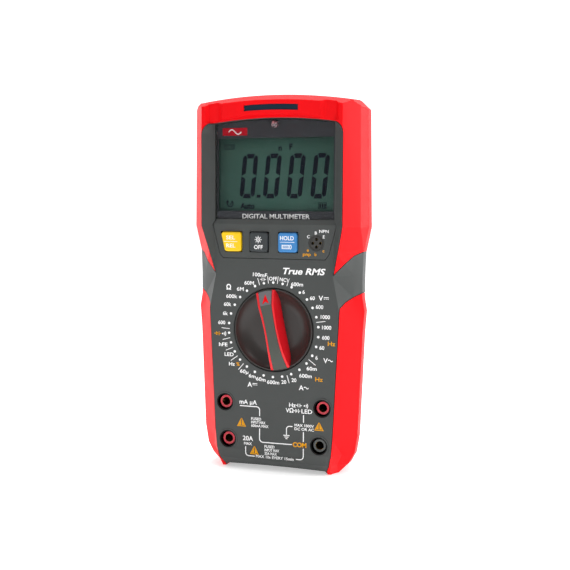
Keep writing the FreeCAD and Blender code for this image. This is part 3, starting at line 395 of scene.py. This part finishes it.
# ---- finishes and edges of the CAD nodes ---------------------------------------------------
# Width of the softened edges, in millimetres
EDGE_WIDTH = {
    "front_case": 0.25, "rear_case": 0.4,
    "front_bumper_top": 0.5, "front_bumper_left": 0.5, "front_bumper_right": 0.5,
    "rear_bumper_top": 0.5, "rear_bumper_left": 0.5, "rear_bumper_right": 0.5,
    "dial_grip": 0.25, "dial_inlay": 0.15, "tilt_stand": 0.3, "battery_cover": 0.3,
}
EDGE_ANGLE = 11.0       # degrees between two faces from which their edge is softened
EDGE_STEPS = 2
WELD_GAP = 1e-6         # metres between corners that are one corner
AREA_WEIGHT = 60        # how far large faces rule the shading of their edges


def soften_edges(obj, width):
    """Round the sharp edges a little, and shade the faces evenly."""
    weld = obj.modifiers.new("weld", "WELD")
    weld.merge_threshold = WELD_GAP
    bevel = obj.modifiers.new("edges", "BEVEL")
    bevel.width = width
    bevel.segments = EDGE_STEPS
    bevel.limit_method = "ANGLE"
    bevel.angle_limit = math.radians(EDGE_ANGLE)
    shading = obj.modifiers.new("shading", "WEIGHTED_NORMAL")
    shading.weight = AREA_WEIGHT
    shading.keep_sharp = False


def dress_frame():
    """Give every CAD node its finish."""
    for name, obj in NODES.items():
        obj.data.materials.clear()
        obj.data.materials.append(MATERIALS[SLOT_OF[name]].material)
        if name in EDGE_WIDTH:
            soften_edges(obj, EDGE_WIDTH[name] * MM)


# ---- flat shapes in panel millimetres ------------------------------------------------------
def slab(mesh, low, high):
    """Close two equal outlines of vertices into a flat solid."""
    mesh.faces.new(high)
    mesh.faces.new(low[::-1])
    for i in range(len(low)):
        j = (i + 1) % len(low)
        mesh.faces.new((low[i], low[j], high[j], high[i]))


def to_frame(mesh, turn):
    """Turn a mesh about the dial's centre by a number of degrees and put it in the frame."""
    mesh.transform(Matrix.Rotation(math.radians(turn), 4, "Z"))
    for vertex in mesh.verts:
        vertex.co = place(*vertex.co)
    bmesh.ops.recalc_face_normals(mesh, faces=mesh.faces)


class Print:
    """Gathers flat shapes and makes them into one thin piece."""

    def __init__(self, height=0.0, thickness=INK):
        self.mesh = bmesh.new()
        self.bottom = height - SINK
        self.top = height + thickness

    def polygon(self, points):
        """A flat shape with the given corners, in either direction round."""
        area = sum(a[0] * b[1] - b[0] * a[1] for a, b in zip(points, points[1:] + points[:1]))
        if area < 0:
            points = points[::-1]
        low = [self.mesh.verts.new((x, y, self.bottom)) for x, y in points]
        high = [self.mesh.verts.new((x, y, self.top)) for x, y in points]
        slab(self.mesh, low, high)

    def disc(self, x, y, radius, count=20):
        """A filled circle."""
        turn = 2 * math.pi / count
        self.polygon([(x + radius * math.cos(k * turn), y + radius * math.sin(k * turn))
                      for k in range(count)])

    def stroke(self, points, width):
        """A line of even width through the points, with mitred corners."""
        left, right = [], []
        for i, point in enumerate(points):
            here = Vector(point)
            before = here - Vector(points[i - 1]) if i else None
            after = Vector(points[i + 1]) - here if i < len(points) - 1 else None
            directions = [d.normalized() for d in (before, after) if d is not None]
            along = sum(directions, Vector((0, 0))).normalized()
            side = Vector((-along.y, along.x))
            reach = width / 2 / max(SHARPEST_MITRE, abs(along.dot(directions[0])))
            left.append(tuple(here + side * reach))
            right.append(tuple(here - side * reach))
        for i in range(len(points) - 1):
            self.polygon([right[i], right[i + 1], left[i + 1], left[i]])

    def arc(self, x, y, radius, start, end, width, count=14):
        """A curved line about (x, y) between two angles in degrees."""
        steps = [math.radians(start + (end - start) * k / count) for k in range(count + 1)]
        self.stroke([(x + radius * math.cos(a), y + radius * math.sin(a)) for a in steps], width)

    def text(self, body, x, y, height, bold=0.0, slant=0.0, width=None, turn=0.0):
        """Lettering centred on (x, y) with capitals of the given height."""
        curve = bpy.data.curves.new("lettering", "FONT")
        curve.body = body
        curve.shear = slant
        curve.offset = bold
        curve.resolution_u = LETTER_STEPS
        curve.extrude = 0.5         # half of a depth of 1, which the last step scales
        holder = add_object("lettering", curve)
        shapes = bpy.context.evaluated_depsgraph_get()
        outline = bpy.data.meshes.new_from_object(holder.evaluated_get(shapes))
        xs = [v.co.x for v in outline.vertices]
        scale = height / CAPITAL
        stretch = width / (max(xs) - min(xs)) if width else scale
        middle = (max(xs) + min(xs)) / 2
        depth = self.top - self.bottom
        outline.transform(Matrix.Translation((x, y, (self.top + self.bottom) / 2))
                          @ Matrix.Rotation(math.radians(turn), 4, "Z")
                          @ Matrix.Diagonal((stretch, scale, depth, 1))
                          @ Matrix.Translation((-middle, -CAPITAL / 2, 0)))
        self.mesh.from_mesh(outline)
        bpy.data.objects.remove(holder)
        bpy.data.curves.remove(curve)
        bpy.data.meshes.remove(outline)

    def finish(self, name, body, slot):
        """Make the piece."""
        bmesh.ops.remove_doubles(self.mesh, verts=self.mesh.verts, dist=MERGE_GAP)
        to_frame(self.mesh, 0.0)
        add_piece(name, self.mesh, body, slot)


def add_piece(name, mesh, body, slot):
    """Make an object from a mesh, in a material slot, on a body."""
    data = bpy.data.meshes.new(name)
    mesh.to_mesh(data)
    mesh.free()
    data.materials.append(MATERIALS[slot].material)
    piece = add_object(name, data)
    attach(piece, body)


# ---- symbols -------------------------------------------------------------------------------
def frame_line(sheet, left, low, right, high, line, overlap=0.15):
    """The outline of a rectangle, drawn a little past its first corner."""
    sheet.stroke([(left, low), (right, low), (right, high), (left, high), (left, low - overlap)], line)


def wave(sheet, x, y, width, height, line, count):
    """One period of a sine wave from (x, y)."""
    steps = [k / count for k in range(count + 1)]
    sheet.stroke([(x + width * s, y + height * math.sin(2 * math.pi * s)) for s in steps], line)


def direct_current(sheet, x, y, width=2.4, line=0.32):
    """A line over three dashes."""
    sheet.stroke([(x - width / 2, y + 0.42), (x + width / 2, y + 0.42)], line)
    dash = width / 4.2
    for k in (-1, 0, 1):
        middle = x + k * (width - dash) / 2
        sheet.stroke([(middle - dash / 2, y - 0.28), (middle + dash / 2, y - 0.28)], line)


def alternating_current(sheet, x, y, width=2.3, line=0.36):
    """A short wave centred on (x, y)."""
    wave(sheet, x - width / 2, y, width, 0.42, line, 12)


def capacitor(sheet, x, y, width=3.0, line=0.34):
    """Two plates with a lead from each."""
    for side in (-1, 1):
        sheet.stroke([(x + side * width / 2, y), (x + side * 0.35, y)], line)
        sheet.stroke([(x + side * 0.5, y - 0.85), (x + side * 0.5, y + 0.85)], line)


def diode(sheet, x, y, width=3.4, half=0.95, line=0.36):
    """An arrowhead against a bar, on a line."""
    sheet.stroke([(x - width / 2, y), (x + width / 2, y)], line)
    sheet.polygon([(x - 0.75, y - half), (x + 0.7, y), (x - 0.75, y + half)])
    sheet.stroke([(x + 0.8, y - half), (x + 0.8, y + half)], line)


def buzzer(sheet, x, y, line=0.32):
    """A dot with two sound waves."""
    sheet.disc(x - 1.1, y, 0.38, 12)
    for radius in (1.0, 1.7):
        sheet.arc(x - 1.1, y, radius, -42, 42, line, 6)


def ground(sheet, x, y, line=0.4):
    """Three lines, each shorter than the one above."""
    for k, half in enumerate((1.6, 1.05, 0.5)):
        sheet.stroke([(x - half, y - 0.8 * k), (x + half, y - 0.8 * k)], line)


def sun(sheet, x, y, radius=0.85, reach=1.75):
    """A ring round a dot, with eight rays."""
    sheet.arc(x, y, radius, 0, 360, 0.36, 20)
    sheet.disc(x, y, 0.32)
    for k in range(8):
        angle = math.radians(45 * k)
        spoke = [(x + r * math.cos(angle), y + r * math.sin(angle)) for r in (radius + 0.4, reach)]
        sheet.stroke(spoke, 0.34)


def torch(sheet, x, y):
    """A torch seen from the side, with a beam."""
    frame_line(sheet, x - 2.1, y - 0.8, x + 1.5, y + 0.8, 0.34)
    for side in (-1, 1):
        sheet.stroke([(x - 1.9, y + 0.25 * side), (x + 1.3, y + 0.25 * side)], 0.14)
    sheet.arc(x + 1.3, y, 1.25, -55, 55, 0.36, 8)


def triangle(sheet, x, y, width, height):
    """A plain triangle inside a thin border."""
    low, high = y - height / 2, y + height / 2
    sheet.stroke([(x, high - 0.5), (x - width / 2 + 0.45, low + 0.2), (x + width / 2 - 0.45, low + 0.2),
                  (x, high - 0.5)], 0.42)
    for side in (-1, 1):
        sheet.polygon([(x + side * 0.2, low + 0.65), (x + side * (width / 2 - 1.0), low + 0.65),
                       (x + side * 0.2, high - 1.5)])


# ---- print on the panel --------------------------------------------------------------------
# Words round the dial: text, place of its middle, width where it isn't the font's own, turn in degrees
DIAL_TEXT = [
    ("OFF", -0.1, 24.85, 4.2, 0), ("NCV", 5.8, 24.45, 5.0, -6), ("600m", 12.1, 22.5, 6.0, 0),
    ("6", 15.4, 18.95, None, 0), ("60", 19.8, 16.15, None, 0), ("600", 23.4, 12.05, None, 0),
    ("1000", 26.3, 7.35, None, 0), ("1000", 27.0, 2.35, None, 0), ("600", 26.6, -2.55, None, 0),
    ("60", 24.7, -7.45, None, 0), ("6", 22.1, -12.35, None, 0), ("60m", 19.7, -17.75, 5.1, 0),
    ("600m", 16.6, -21.45, 6.4, 0), ("20", 10.8, -23.85, None, 0), ("20", 5.65, -25.05, None, 3),
    ("600m", 0.15, -25.55, 6.3, 0), ("60m", -6.2, -24.45, 5.0, -5), ("6m", -10.7, -23.15, 3.6, -6),
    ("60µ", -14.9, -21.15, 4.4, -8), ("LED", -22.9, -13.05, 4.8, 0), ("hFE", -26.0, -8.3, 4.5, 0),
    ("600", -26.8, 2.55, None, 0), ("6k", -24.85, 7.15, None, 0), ("60k", -23.7, 11.65, None, 0),
    ("600k", -21.5, 15.65, 5.9, 0), ("6M", -17.0, 19.35, 3.6, 0), ("60M", -12.4, 22.45, 5.0, 0),
    ("100mF", -6.8, 26.55, 7.3, -3), ("Hz", -21.4, -17.75, 3.1, 0),
]
# Ends of the lines between the groups of dial positions
DIVIDERS = [
    ((-8.0, 24.9), (-6.95, 21.5)), ((-2.9, 26.0), (-2.4, 22.4)), ((2.55, 26.0), (2.1, 22.4)),
    ((7.9, 24.5), (6.95, 21.5)), ((21.8, 4.6), (26.4, 5.3)), ((18.1, -13.4), (21.6, -16.0)),
    ((7.2, -21.7), (8.4, -25.5)), ((-15.2, -17.2), (-18.0, -20.4)), ((-18.4, -13.6), (-22.0, -16.1)),
    ((-20.9, -9.6), (-24.6, -11.1)), ((-22.3, -4.8), (-26.3, -5.9)), ((-22.6, -0.35), (-26.8, -0.1)),
]


def square_leg(corner, point):
    """Direction from a corner along x or y, whichever leads nearer to the point."""
    leg = Vector(point) - Vector(corner)
    if abs(leg.x) > abs(leg.y):
        return Vector((math.copysign(1, leg.x), 0))
    return Vector((0, math.copysign(1, leg.y)))


def track(sheet, start, corner, end, radius, count=5):
    """A joining line with one rounded square bend."""
    into, out = square_leg(corner, start), square_leg(corner, end)
    centre = Vector(corner) + (into + out) * radius
    bend = []
    for k in range(count + 1):
        angle = math.pi / 2 * k / count
        bend.append(tuple(centre - out * radius * math.cos(angle) - into * radius * math.sin(angle)))
    sheet.stroke([start] + bend + [end], TRACK)


def dial_print():
    """Dots, numbers, units and dividing lines round the dial."""
    sheet = Print()
    for k in range(DOT_COUNT):
        angle = math.radians(90 + 360 * k / DOT_COUNT)
        sheet.disc(DOT_RING * math.cos(angle), DOT_RING * math.sin(angle), DOT_R)
    for body, x, y, width, turn in DIAL_TEXT:
        sheet.text(body, x, y, NUMBER_HEIGHT, BOLD, width=width, turn=turn)
    for line in DIVIDERS:
        sheet.stroke(line, DIVIDER_LINE)
    capacitor(sheet, -5.25, 24.35)
    buzzer(sheet, -25.2, -2.95)
    sheet.text("Ω", -23.1, 20.15, 2.4, 0.03)
    sheet.text("V", 24.0, 16.25, SIGN_HEIGHT, LIGHT)
    direct_current(sheet, 26.7, 16.2)
    sheet.text("V", 26.6, -13.5, SIGN_HEIGHT, LIGHT)
    alternating_current(sheet, 29.0, -13.45)
    sheet.text("A", -12.0, -27.35, SIGN_HEIGHT, LIGHT)
    direct_current(sheet, -9.3, -27.2)
    sheet.text("A", 14.5, -27.3, SIGN_HEIGHT, LIGHT)
    alternating_current(sheet, 17.0, -27.3)
    sheet.text("True RMS", 15.6, 28.75, 2.9, 0.028, slant=0.25, width=21.3)
    sheet.finish("dial_print_white", "case", "legend_white")

    amber = Print()
    amber.text("Hz", 29.5, -5.3, UNIT_HEIGHT, LIGHT, width=3.7)
    amber.text("Hz", 23.4, -22.75, UNIT_HEIGHT, LIGHT, width=3.8)
    amber.text("%", -18.2, -17.65, NUMBER_HEIGHT, BOLD)
    diode(amber, -29.0, -2.95)
    amber.finish("dial_print_amber", "case", "legend_amber")


def socket_print():
    """Names, notes, joining lines and triangles round the four input sockets."""
    sheet = Print()
    sheet.text("mA µA", -12.8, -36.15, 2.1, LIGHT, width=9.1)
    track(sheet, (-17.1, -38.2), (-6.8, -38.2), (-6.8, -42.7), 1.6)
    track(sheet, (-6.8, -48.9), (-6.8, -55.6), (9.9, -55.5), 1.7)
    for row, (words, width) in enumerate((("FUSED", 5.2), ("INPUT MAX", 7.4), ("600mA MAX", 9.0))):
        sheet.text(words, -11.2 + width / 2, -44.25 - 1.7 * row, NOTE_HEIGHT, BOLD, width=width)
    sheet.text("Hz", 10.1, -36.05, UNIT_HEIGHT, LIGHT, width=3.4)
    capacitor(sheet, 13.4, -36.05)
    buzzer(sheet, 17.3, -36.05)
    sheet.text("V", 7.6, -38.75, UNIT_HEIGHT, LIGHT)
    sheet.text("Ω", 9.6, -38.75, 2.0, 0.025)
    diode(sheet, 12.4, -38.75)
    sheet.text("LED", 17.4, -38.75, UNIT_HEIGHT, LIGHT, width=5.4)
    sheet.stroke([(15.75, -40.6), (15.75, -44.3)], TRACK)
    sheet.stroke([(15.75, -48.9), (15.75, -53.7)], TRACK)
    for row, words in enumerate(("MAX 1000V", "DC OR AC")):
        sheet.text(words, 16.1, -45.75 - 1.8 * row, NOTE_HEIGHT, BOLD, width=9.8)
    track(sheet, (10.2, -46.6), (7.1, -46.6), (7.1, -51.2), 1.5)
    ground(sheet, 7.1, -51.2)
    sheet.text("20A", -12.9, -54.2, 2.2, LIGHT, width=5.4)
    sheet.text("MAX", -12.9, -56.85, 1.35, BOLD, width=4.2)
    track(sheet, (-14.1, -58.3), (-14.1, -62.9), (-9.3, -62.9), 1.7)
    for row, (words, width) in enumerate((("FUSED", 5.2), ("INPUT MAX", 7.6), ("20A MAX", 6.4))):
        sheet.text(words, -4.2 + width / 2, -57.55 - 1.72 * row, NOTE_HEIGHT, BOLD, width=width)
    sheet.text("MAX 10s EVERY 15min", 1.1, -62.75, NOTE_HEIGHT, BOLD, width=19.6)
    track(sheet, (12.0, -62.6), (15.75, -62.6), (15.75, -57.1), 1.7)
    sheet.finish("socket_print_white", "case", "legend_white")

    amber = Print()
    amber.text("COM", 13.8, -55.35, 2.15, 0.035, width=7.0)
    triangle(amber, -16.3, -46.2, 5.0, 4.6)
    triangle(amber, 23.6, -45.4, 5.0, 4.4)
    triangle(amber, -9.5, -59.7, 4.9, 4.5)
    amber.finish("socket_print_amber", "case", "legend_amber")


def insert_print():
    """Letters round the transistor socket."""
    sheet = Print()
    for body, x, y in (("C", 17.6, 45.35), ("B", 21.3, 47.1), ("E", 25.2, 45.35)):
        sheet.text(body, x, y, PIN_HEIGHT, BOLD)
    sheet.text("NPN", 25.3, 47.95, PIN_HEIGHT, LIGHT, width=4.7)
    sheet.finish("insert_print_white", "case", "legend_white")
    amber = Print()
    for body, x, y in (("e", 17.4, 39.0), ("c", 25.1, 38.8), ("b", 21.2, 37.0)):
        amber.text(body, x, y, 1.5, BOLD)
    amber.text("pnp", 16.9, 37.0, 1.5, LIGHT, width=4.0)
    amber.finish("insert_print_amber", "case", "legend_amber")


def mask_print():
    """Title below the display, and above it a plain badge with a sine wave."""
    sheet = Print(MASK_FRONT)
    sheet.text("DIGITAL MULTIMETER", 0.5, 54.75, 2.2, 0.02, width=34.4)
    wave(sheet, -23.9, 95.3, 6.6, 1.1, 0.5, 16)
    sheet.finish("window_print_white", "case", "legend_white")
    badge = Print(MASK_FRONT - BADGE_DROP, BADGE_THICKNESS)
    badge.polygon([(-27.0, 93.6), (-14.2, 93.6), (-14.2, 97.2), (-27.0, 97.2)])
    badge.finish("window_badge", "case", "badge_red")


def key_legends():
    """What is printed on the three keys."""
    key_top = front_of("key_select")        # the three keys are equally high
    sheet = Print(key_top)
    sheet.text("SEL", -21.6, 44.4, 1.8, LIGHT, width=4.7)
    sheet.stroke([(-25.2, 42.45), (-18.1, 42.45)], KEY_LINE)
    sheet.text("REL", -21.5, 40.5, 1.8, LIGHT, width=4.7)
    sheet.finish("legend_select", "key_select", "legend_white")
    sheet = Print(key_top)
    sun(sheet, -7.3, 43.6)
    sheet.text("OFF", -7.2, 40.0, 1.9, LIGHT, width=4.5)
    sheet.finish("legend_backlight", "key_backlight", "legend_white")
    sheet = Print(key_top)
    sheet.text("HOLD", 7.3, 44.5, 1.9, LIGHT, width=6.9)
    sheet.stroke([(3.8, 42.55), (11.1, 42.55)], KEY_LINE)
    torch(sheet, 7.0, 40.3)
    sheet.finish("legend_hold", "key_hold", "legend_white")


# ---- display segments ----------------------------------------------------------------------
DIGIT_X = (-18.9, -6.85, 5.2, 17.2)      # lower left corner of each digit
DIGIT_Y = 63.4
DIGIT_SIZE = (7.8, 21.4)
DIGIT_SLANT = 0.1       # sideways lean for each unit of height
BAR = 2.2               # width of a segment
SPLIT = 0.14            # half the gap between two segments
SEGMENT_THICKNESS = 0.05


def slanted(points, x, y):
    """Points set at (x, y), leaning to the right with height."""
    return [(x + px + DIGIT_SLANT * py, y + py) for px, py in points]


def zero(sheet, x, y):
    """The six lit segments of a nought."""
    width, height = DIGIT_SIZE
    half = height / 2
    level = [(0.85 * BAR, height), (width - 0.85 * BAR, height),
             (width - BAR - SPLIT, height - BAR), (BAR + SPLIT, height - BAR)]
    upright = [(0.0, half + SPLIT), (BAR, half + SPLIT + 0.55 * BAR), (BAR, height - BAR - SPLIT),
               (0.62 * BAR, height - 0.3 * BAR), (0.12 * BAR, height - 0.62 * BAR), (0.0, height - BAR)]
    for flip_y in (False, True):
        shapes = [level, upright, [(width - px, py) for px, py in upright]]
        for shape in shapes:
            points = [(px, height - py) for px, py in shape] if flip_y else shape
            sheet.polygon(slanted(points, x, y))


def lcd_segments():
    """Four noughts, a decimal point and the small symbols round them."""
    sheet = Print(LCD_FRONT, SEGMENT_THICKNESS)
    for x in DIGIT_X:
        zero(sheet, x, DIGIT_Y)
    sheet.polygon([(-9.9, 63.7), (-8.0, 63.7), (-7.85, 65.1), (-9.75, 65.1)])
    sheet.text("n", 2.1, 87.6, LCD_HEIGHT, LCD_BOLD)
    sheet.text("F", 7.5, 88.0, LCD_HEIGHT, LCD_BOLD)
    sheet.text("Auto", -14.7, 59.7, LCD_HEIGHT, LCD_BOLD, width=7.5)
    battery_symbol(sheet, -24.1, 88.2)
    sheet.arc(-23.7, 60.8, 1.5, -200, 60, 0.55, 16)
    sheet.polygon([(-26.1, 61.2), (-24.1, 61.2), (-25.1, 62.6)])
    sheet.stroke([(-23.9, 60.2), (-22.6, 61.6)], 0.45)
    for x in (21.9, 23.1, 24.3):
        sheet.polygon([(x, 59.0), (x + 0.8, 59.0), (x + 0.8, 61.0), (x, 61.0)])
    frame_line(sheet, 21.4, 58.6, 25.5, 61.4, 0.25, 0.1)
    sheet.finish("lcd_segments", "case", "lcd_ink")


def battery_symbol(sheet, x, y):
    """A battery outline with a minus and a plus."""
    frame_line(sheet, x - 2.4, y - 1.0, x + 2.4, y + 1.0, 0.34)
    sheet.stroke([(x - 1.8, y), (x - 0.6, y)], 0.3)
    sheet.stroke([(x + 0.6, y), (x + 1.8, y)], 0.3)
    sheet.stroke([(x + 1.2, y - 0.6), (x + 1.2, y + 0.6)], 0.3)


# ---- dial pointer --------------------------------------------------------------------------
def pointer_height(v):
    """Height of the inlay's sloping end above the panel."""
    return INLAY_TOP - (v - POINTER_START) / (POINTER_END - POINTER_START) * POINTER_FALL


def sloped_plate(name, outline, lift, thickness, slot):
    """A thin plate on the grip's sloping end, drawn as (u, v) across and along the grip."""
    mesh = bmesh.new()
    layers = []
    for height in (lift, lift + thickness):
        layers.append([mesh.verts.new((u, v, pointer_height(v) + height)) for u, v in outline])
    slab(mesh, *layers)
    to_frame(mesh, DIAL_REST)
    add_piece(name, mesh, "dial", slot)


def dial_pointer():
    """Lighter grey plate, a painted highlight of the top light on the sloping end of the dial's grip,
    and a red arrow on it.
    """
    tip = POINTER_END - 0.25
    # The plate's lighter grey is a painted highlight of the top light on the sloping end.
    plate = [(-2.75, POINTER_START + 0.1), (2.75, POINTER_START + 0.1), (3.45, tip - 0.35),
             (1.8, tip), (0.0, tip + 0.1), (-1.8, tip), (-3.45, tip - 0.35)]
    sloped_plate("pointer_plate_painted_highlight", plate, -0.02, POINTER_THICKNESS, "knob_tip")
    arrow = [(-1.75, 13.1), (0.0, 14.2), (1.75, 13.1), (0.0, 17.7)]
    sloped_plate("pointer_arrow", arrow, 0.03, POINTER_THICKNESS, "bumper_red")


# ---- stage ---------------------------------------------------------------------------------
CAMERA_TARGET = (6.0, 22.0)     # point on the panel that the camera looks at
CAMERA_DISTANCE = 0.484         # metres
CAMERA_AZIMUTH = 19.0           # degrees
CAMERA_ELEVATION = 4.74
CAMERA_ROLL = 0.27
LENS = 63.74                    # millimetres
SENSOR_WIDTH = 36.0
FLOOR_RADIUS = 6.0              # metres
FLOOR_GREY = 0.88
FLOOR_GLOW = 0.45
# How the studio's brightness (To) follows the y of the direction that is looked along (From)
STUDIO_FADE = {"From Min": -0.15, "From Max": 0.9, "To Min": 0.4, "To Max": 1.4}
# Name, direction from the meter, distance and size in metres, power in watts
LIGHTS = [
    ("key_right", (0.54, -0.26, 0.78), 1.0, (0.5, 0.5), 1.9),
    ("key_left", (-0.5, -0.55, 0.67), 1.0, (0.5, 0.5), 0.7),
    ("rim_right", (0.93, 0.36, 0.1), 1.0, (0.5, 0.8), 10.0),
    ("rim_left", (-0.93, 0.36, 0.1), 1.0, (0.5, 0.8), 1.7),
    ("top", (0.0, 0.1, 1.0), 0.9, (0.6, 0.4), 7.5),
]


def add_camera():
    """Camera to the right of the meter's front and a little above it."""
    data = bpy.data.cameras.new("camera")
    data.lens = LENS
    data.sensor_width = SENSOR_WIDTH
    camera = add_object("camera", data)
    azimuth, elevation = math.radians(CAMERA_AZIMUTH), math.radians(CAMERA_ELEVATION)
    towards = Vector((math.sin(azimuth) * math.cos(elevation),
                      -math.cos(azimuth) * math.cos(elevation), math.sin(elevation)))
    camera.location = place(*CAMERA_TARGET) + towards * CAMERA_DISTANCE
    aim = towards.to_track_quat("Z", "Y").to_matrix().to_4x4()
    camera.matrix_world = (Matrix.Translation(camera.location) @ aim
                           @ Matrix.Rotation(math.radians(CAMERA_ROLL), 4, "Z"))
    bpy.context.scene.camera = camera


def add_light(name, position, target, size, power):
    """White rectangular softbox that faces the target."""
    data = bpy.data.lights.new(name, "AREA")
    data.shape = "RECTANGLE"
    data.size, data.size_y = size
    data.energy = power
    light = add_object(name, data)
    aim = (Vector(position) - Vector(target)).to_track_quat("Z", "Y").to_matrix().to_4x4()
    light.matrix_world = Matrix.Translation(position) @ aim


def add_floor():
    """Plain pale floor under the meter."""
    mesh = bmesh.new()
    bmesh.ops.create_circle(mesh, cap_ends=True, segments=64, radius=FLOOR_RADIUS)
    data = bpy.data.meshes.new("floor")
    mesh.to_mesh(data)
    mesh.free()
    surface = Surface("floor_pale", 0.7)
    surface.mottle(grey(FLOOR_GREY), 0.01, 3.0)
    surface.set(Emission_Color=grey(1.0), Emission_Strength=FLOOR_GLOW)
    data.materials.append(surface.material)
    floor = add_object("floor", data)
    floor.location.z = cad_box[0].z


def add_world():
    """White studio, brighter behind the meter than in front of it."""
    world = bpy.data.worlds.new("studio")
    bpy.context.scene.world = world
    world.use_nodes = True
    tree = world.node_tree
    background = tree.nodes["Background"]
    background.inputs["Color"].default_value = grey(1.0)
    direction = tree.nodes.new("ShaderNodeTexCoord")
    split = tree.nodes.new("ShaderNodeSeparateXYZ")
    fade = tree.nodes.new("ShaderNodeMapRange")
    fade.interpolation_type = "SMOOTHSTEP"
    for name, value in STUDIO_FADE.items():
        fade.inputs[name].default_value = value
    tree.links.new(direction.outputs["Generated"], split.inputs["Vector"])
    tree.links.new(split.outputs["Y"], fade.inputs["Value"])
    tree.links.new(fade.outputs["Result"], background.inputs["Strength"])


def light_scene():
    """Softboxes round the middle of the meter."""
    middle = (cad_box[0] + cad_box[1]) / 2
    for name, towards, distance, size, power in LIGHTS:
        add_light(name, middle + Vector(towards).normalized() * distance, middle, size, power)
    bpy.context.scene.view_settings.view_transform = "Standard"


# ---- build ---------------------------------------------------------------------------------
dress_frame()
dial_print()
socket_print()
insert_print()
mask_print()
key_legends()
lcd_segments()
dial_pointer()
add_camera()
add_floor()
add_world()
light_scene()
